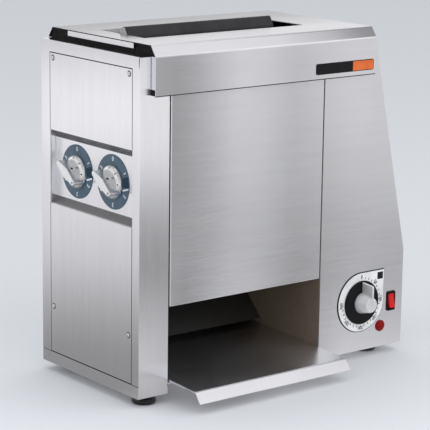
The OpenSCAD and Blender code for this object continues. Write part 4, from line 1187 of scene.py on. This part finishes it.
class TOASTER_OT_belts(Step, bpy.types.Operator):
    """Weaves the two wire belts round their rollers."""

    bl_idname = "toaster.belts"
    bl_label = "Wire belts"
    # Depth of the wires' middle in wire radii, and a link's half height in pitches
    depth, reach = 1.3, 0.52
    # Where a link's straight run starts and ends, in cells
    run = (0.12, 0.88)

    def execute(self, context):
        look = settings("belt")
        wire_finish = plain_metal("belt_wire", (0.5, 0.48, 0.46), 0.3, 0.15)
        for side in ("front", "rear"):
            node = side + "_belt"
            lowest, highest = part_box(node)
            drive, idler = (joint_place(side + end) for end in ("_drive_spin", "_idler_spin"))
            inset = look.wire * self.depth
            loop = self.loop(drive, drive.z - lowest.z - inset, idler, highest.z - idler.z - inset)
            edges = [(i, (i + 1) % len(loop)) for i in range(len(loop))]
            mesh = bpy.data.meshes.new("loop")
            mesh.from_pydata(loop, edges, [])
            lift = sum((loop[b] - loop[a]).length for a, b in edges) / look.links * self.reach
            cells = round((highest.x - lowest.x) / look.cell)
            step = (highest.x - lowest.x - 2 * look.wire) / cells
            start = lowest.x + look.wire
            points = [Vector((start + (k + end) * step, 0, lift if k % 2 else -lift))
                      for k in range(cells) for end in self.run]
            made = grown(belt_tree(), mesh, tube(points, look.wire), wire_finish, Count=look.links)
            stand_in(node + "_wires", node, made, wire_finish, smooth=50)
        return {"FINISHED"}

    @staticmethod
    def loop(drive, drive_r, idler, idler_r):
        """Points round two rollers, at x = 0."""
        line = idler.yz - drive.yz
        lean = math.atan2(line.y, line.x)
        spread = math.acos((drive_r - idler_r) / line.length)
        over = arc(idler_r, lean - spread, lean + spread, 24, idler.yz)
        under = arc(drive_r, lean + spread, lean - spread + math.tau, 24, drive.yz)
        return [Vector((0, y, z)) for y, z in over + under]


class TOASTER_OT_hood_trim(Step, bpy.types.Operator):
    """Makes the bare plate on the hood, the seals at its ends and below its fascias, and black strips of painted
    shadow under the fascias and under its top's ends.
    """

    bl_idname = "toaster.hood_trim"
    bl_label = "Hood trim"
    # Strips of painted shadow below the fascias: inset, width, depth, and how far they reach up
    lip_inset, lip_w, lip_h, lip_up = 0.2 * MM, 0.9 * MM, 1.3 * MM, 0.1 * MM
    # Lines of painted shadow below the top's ends: thickness, how far they stand out, upper and lower edge
    line_t, line_proud, line_upper, line_lower = 0.4 * MM, 0.06 * MM, 0.2 * MM, 1.7 * MM
    # The plate's corner, the black edge round its coloured end, and where that end starts
    plate_corner, plate_edge, plate_split = 2.6 * MM, 1.2 * MM, 0.63

    def execute(self, context):
        orange = moulded("plate_orange", tuple(settings("colours").badge), 0.35, shine=0.3)
        stand_in("hood_plate", "name_plate", round_cornered("name_plate", self.plate_corner),
                 black_plastic("plate_enamel", 0.32), weighted=True)
        lowest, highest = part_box("name_plate")
        face = prism(self.end_outline(lowest, highest), 0, 0.15 * MM, 0.05 * MM, 1)
        turn = Matrix(((1, 0, 0, 0), (0, 0, -1, lowest.y), (0, 1, 0, 0), (0, 0, 0, 1)))
        piece("hood_plate_end", placed(face, turn), orange, "hood", "plate_black")
        shapes = [eased("hood_seals", 0.2 * MM, 1)]
        lowest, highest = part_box("hood")
        ends = low("hood_seals").x, high("hood_seals").x
        # Painted shadow under each fascia, as a black strip
        for y in (lowest.y + self.lip_inset, highest.y - self.lip_inset - self.lip_w):
            shapes.append(slab(ends, (y, y + self.lip_w),
                               (lowest.z - self.lip_h, lowest.z + self.lip_up)))
        # Painted shadow lines below the top sheet's edge at each end
        run = low("left_casing").y, high("left_casing").y
        for x in (lowest.x - self.line_proud, highest.x + self.line_proud - self.line_t):
            shapes.append(slab((x, x + self.line_t), run,
                               (highest.z - self.line_lower, highest.z - self.line_upper)))
        stand_in("hood_seal_strips", "hood_seals", joined(shapes), rubber())
        return {"FINISHED"}

    def end_outline(self, lowest, highest):
        """The plate's coloured end, in x and z."""
        edge, bend = self.plate_edge, self.plate_corner - self.plate_edge
        split = lowest.x + (highest.x - lowest.x) * self.plate_split
        right = highest.x - edge - bend
        return [(split, lowest.z + edge),
                *arc(bend, -math.pi / 2, 0, 5, (right, lowest.z + edge + bend)),
                *arc(bend, 0, math.pi / 2, 5, (right, highest.z - edge - bend)),
                (split, highest.z - edge)]


class TOASTER_OT_stage(Step, bpy.types.Operator):
    """Sets the floor, the light and the camera."""

    bl_idname = "toaster.stage"
    bl_label = "Studio stage"
    # Brightness that polished sheet sees on the floor, by distance in metres
    front_sweep = ((0.0, 0.85), (0.3, 0.74), (0.55, 0.56), (0.85, 0.38), (1.2, 0.42), (1.6, 0.62),
                   (2.0, 1.0), (3.6, 1.0), (4.4, 0.76), (7.0, 0.7))
    rear_sweep = ((0.0, 0.28), (0.45, 0.32), (0.65, 0.42), (1.05, 0.66), (1.4, 0.78), (2.2, 0.86),
                  (2.6, 1.0), (3.6, 1.0), (4.2, 0.76), (5.0, 0.68), (7.0, 0.64))
    # The same in front by the angle from the middle, in radians
    front_bands = ((-0.09, 1.0), (-0.033, 1.0), (-0.018, 0.25), (0.003, 1.0), (0.022, 1.0),
                   (0.045, 0.5), (0.068, 0.9), (0.12, 0.95))
    # Painted light and shade on the floor itself: its brightness by depth along the view in metres
    floor_fade = ((-0.6, 0.98), (-0.35, 0.94), (0.0, 0.86), (0.25, 0.79), (0.8, 0.78),
                  (2.5, 0.765), (6.0, 0.73), (14.0, 0.68))
    # Brightness of the studio's walls and ceiling, by height from level to overhead
    front_walls = ((0.0, 0.7), (0.3, 0.66), (0.6, 0.45), (0.8, 0.45), (1.0, 0.5))
    rear_walls = ((0.0, 0.72), (0.12, 0.85), (0.18, 1.0), (0.28, 1.0), (0.38, 0.8), (0.5, 0.5),
                  (0.75, 0.5), (1.0, 0.5))
    # Colour of the daylight, and the band over which the front of the studio meets its rear
    daylight, seam = (0.92, 0.94, 0.97, 1), (-0.2, 0.2)
    # Sine and cosine of the floor's main direction, and where its bands spread from: how far
    # aside and how far behind the middle, in metres
    sine, cosine, spread_aside, spread_behind = 0.617, 0.787, 0.154, 2.9
    # Place, size and power of the soft panels, and the point that they face
    panels = {
        "overhead_softbox": ((0.2, 0.3, 2.6), 2.2, 9),
        "front_softbox": ((1.2, -1.9, 2.0), 2.0, 6),
    }
    aim = Vector((0, 0, 0.3))

    def execute(self, context):
        scene = bpy.context.scene
        look = settings("stage")
        scene.view_settings.view_transform = "Standard"
        self.camera(scene, look)
        self.floor(look)
        self.lights(scene)
        return {"FINISHED"}

    @staticmethod
    def camera(scene, look):
        data = bpy.data.cameras.new("photo_camera")
        data.lens = look.lens
        data.sensor_width = 36
        data.clip_end = 200
        camera = linked("photo_camera", data)
        place = Matrix.Translation(low("left_casing") + Vector(look.eye))
        for turn, axis in ((look.azimuth, "Z"), (math.pi / 2 - look.elevation, "X"),
                           (look.roll, "Z")):
            place @= Matrix.Rotation(turn, 4, axis)
        camera.matrix_world = place
        scene.camera = camera

    def floor(self, look):
        """A pale floor, which polished sheet sees as a studio's graded sweep."""
        bm = bmesh.new()
        bmesh.ops.create_circle(bm, cap_ends=True, segments=96, radius=40)
        mesh = baked(bm, "studio_floor")
        finish = Finish("studio_floor")
        x, y, _ = finish.split(finish.place)

        def along(x_share, y_share):
            return finish.work("ADD", finish.times(x, x_share), finish.times(y, y_share))

        ahead, depth = along(self.sine, -self.cosine), along(self.sine, self.cosine)
        aside = finish.work(
            "DIVIDE", finish.work("ADD", along(self.cosine, self.sine), self.spread_aside),
            finish.work("ADD", ahead, self.spread_behind))
        away = finish.made("ShaderNodeVectorMath", {0: finish.place}, "Value", operation="LENGTH")
        front = finish.mix(1.0, finish.ramp(away, self.front_sweep),
                           finish.ramp(aside, self.front_bands), "MULTIPLY")
        sweep = finish.mix(finish.span(ahead, 0, 1, *self.seam),
                           finish.ramp(away, self.rear_sweep), front)
        pale = finish.mix(1.0, finish.ramp(depth, self.floor_fade), shade(look.floor), "MULTIPLY")
        finish.surface(base_color=pale, roughness=0.95)
        shown = finish.made("ShaderNodeMixShader", {
            0: finish.made("ShaderNodeLightPath", {}, "Is Glossy Ray"),
            1: finish.shader.outputs[0],
            2: finish.made("ShaderNodeEmission", {"Color": sweep})})
        finish.feed(finish.output.inputs["Surface"], shown)
        mesh.materials.append(finish.material)
        floor = linked("studio_floor", mesh)

    def lights(self, scene):
        """The studio's walls, which polished sheet sees, and its soft panels."""
        world = bpy.data.worlds.new("studio_world")
        world.use_nodes = True
        tree = Tree(world.node_tree)
        sky = world.node_tree.nodes["Background"]
        _, y, z = tree.split(tree.node("ShaderNodeTexCoord").outputs["Generated"])
        walls = tree.mix(tree.span(y, 0, 1, *self.seam), tree.ramp(z, self.front_walls),
                         tree.ramp(z, self.rear_walls))
        mirrored = tree.made("ShaderNodeLightPath", {}, "Is Glossy Ray")
        tree.feed(sky.inputs["Color"], tree.mix(mirrored, self.daylight, walls))
        scene.world = world
        for name, (spot, size, power) in self.panels.items():
            data = bpy.data.lights.new(name, "AREA")
            data.size = size
            data.energy = power
            lamp = linked(name, data)
            lamp.location = spot
            lamp.rotation_euler = (self.aim - Vector(spot)).to_track_quat("-Z", "Y").to_euler()


OPERATORS = (
    TOASTER_OT_sheets, TOASTER_OT_inner_works, TOASTER_OT_seams_and_feet, TOASTER_OT_screws,
    TOASTER_OT_gap_dials, TOASTER_OT_thermostat, TOASTER_OT_switch, TOASTER_OT_release_cloth,
    TOASTER_OT_belts, TOASTER_OT_hood_trim, TOASTER_OT_stage)


class TOASTER_PT_panel(bpy.types.Panel):
    """Lists the steps that finish the toaster."""

    bl_idname = "TOASTER_PT_panel"
    bl_label = "Vertical toaster"
    bl_space_type = "VIEW_3D"
    bl_region_type = "UI"
    bl_category = "Toaster"

    def draw(self, context):
        for operator in OPERATORS:
            self.layout.operator(operator.bl_idname)


CLASSES = (*SETTINGS.values(), *OPERATORS, TOASTER_PT_panel)


def register():
    for kind in CLASSES:
        bpy.utils.register_class(kind)
    for name, kind in SETTINGS.items():
        setattr(bpy.types.Scene, name, bpy.props.PointerProperty(type=kind))


def unregister():
    for name in SETTINGS:
        delattr(bpy.types.Scene, name)
    for kind in reversed(CLASSES):
        bpy.utils.unregister_class(kind)


def main():
    register()
    for operator in OPERATORS:
        getattr(bpy.ops.toaster, operator.bl_idname.split(".")[1])()


if __name__ == "__main__":
    main()
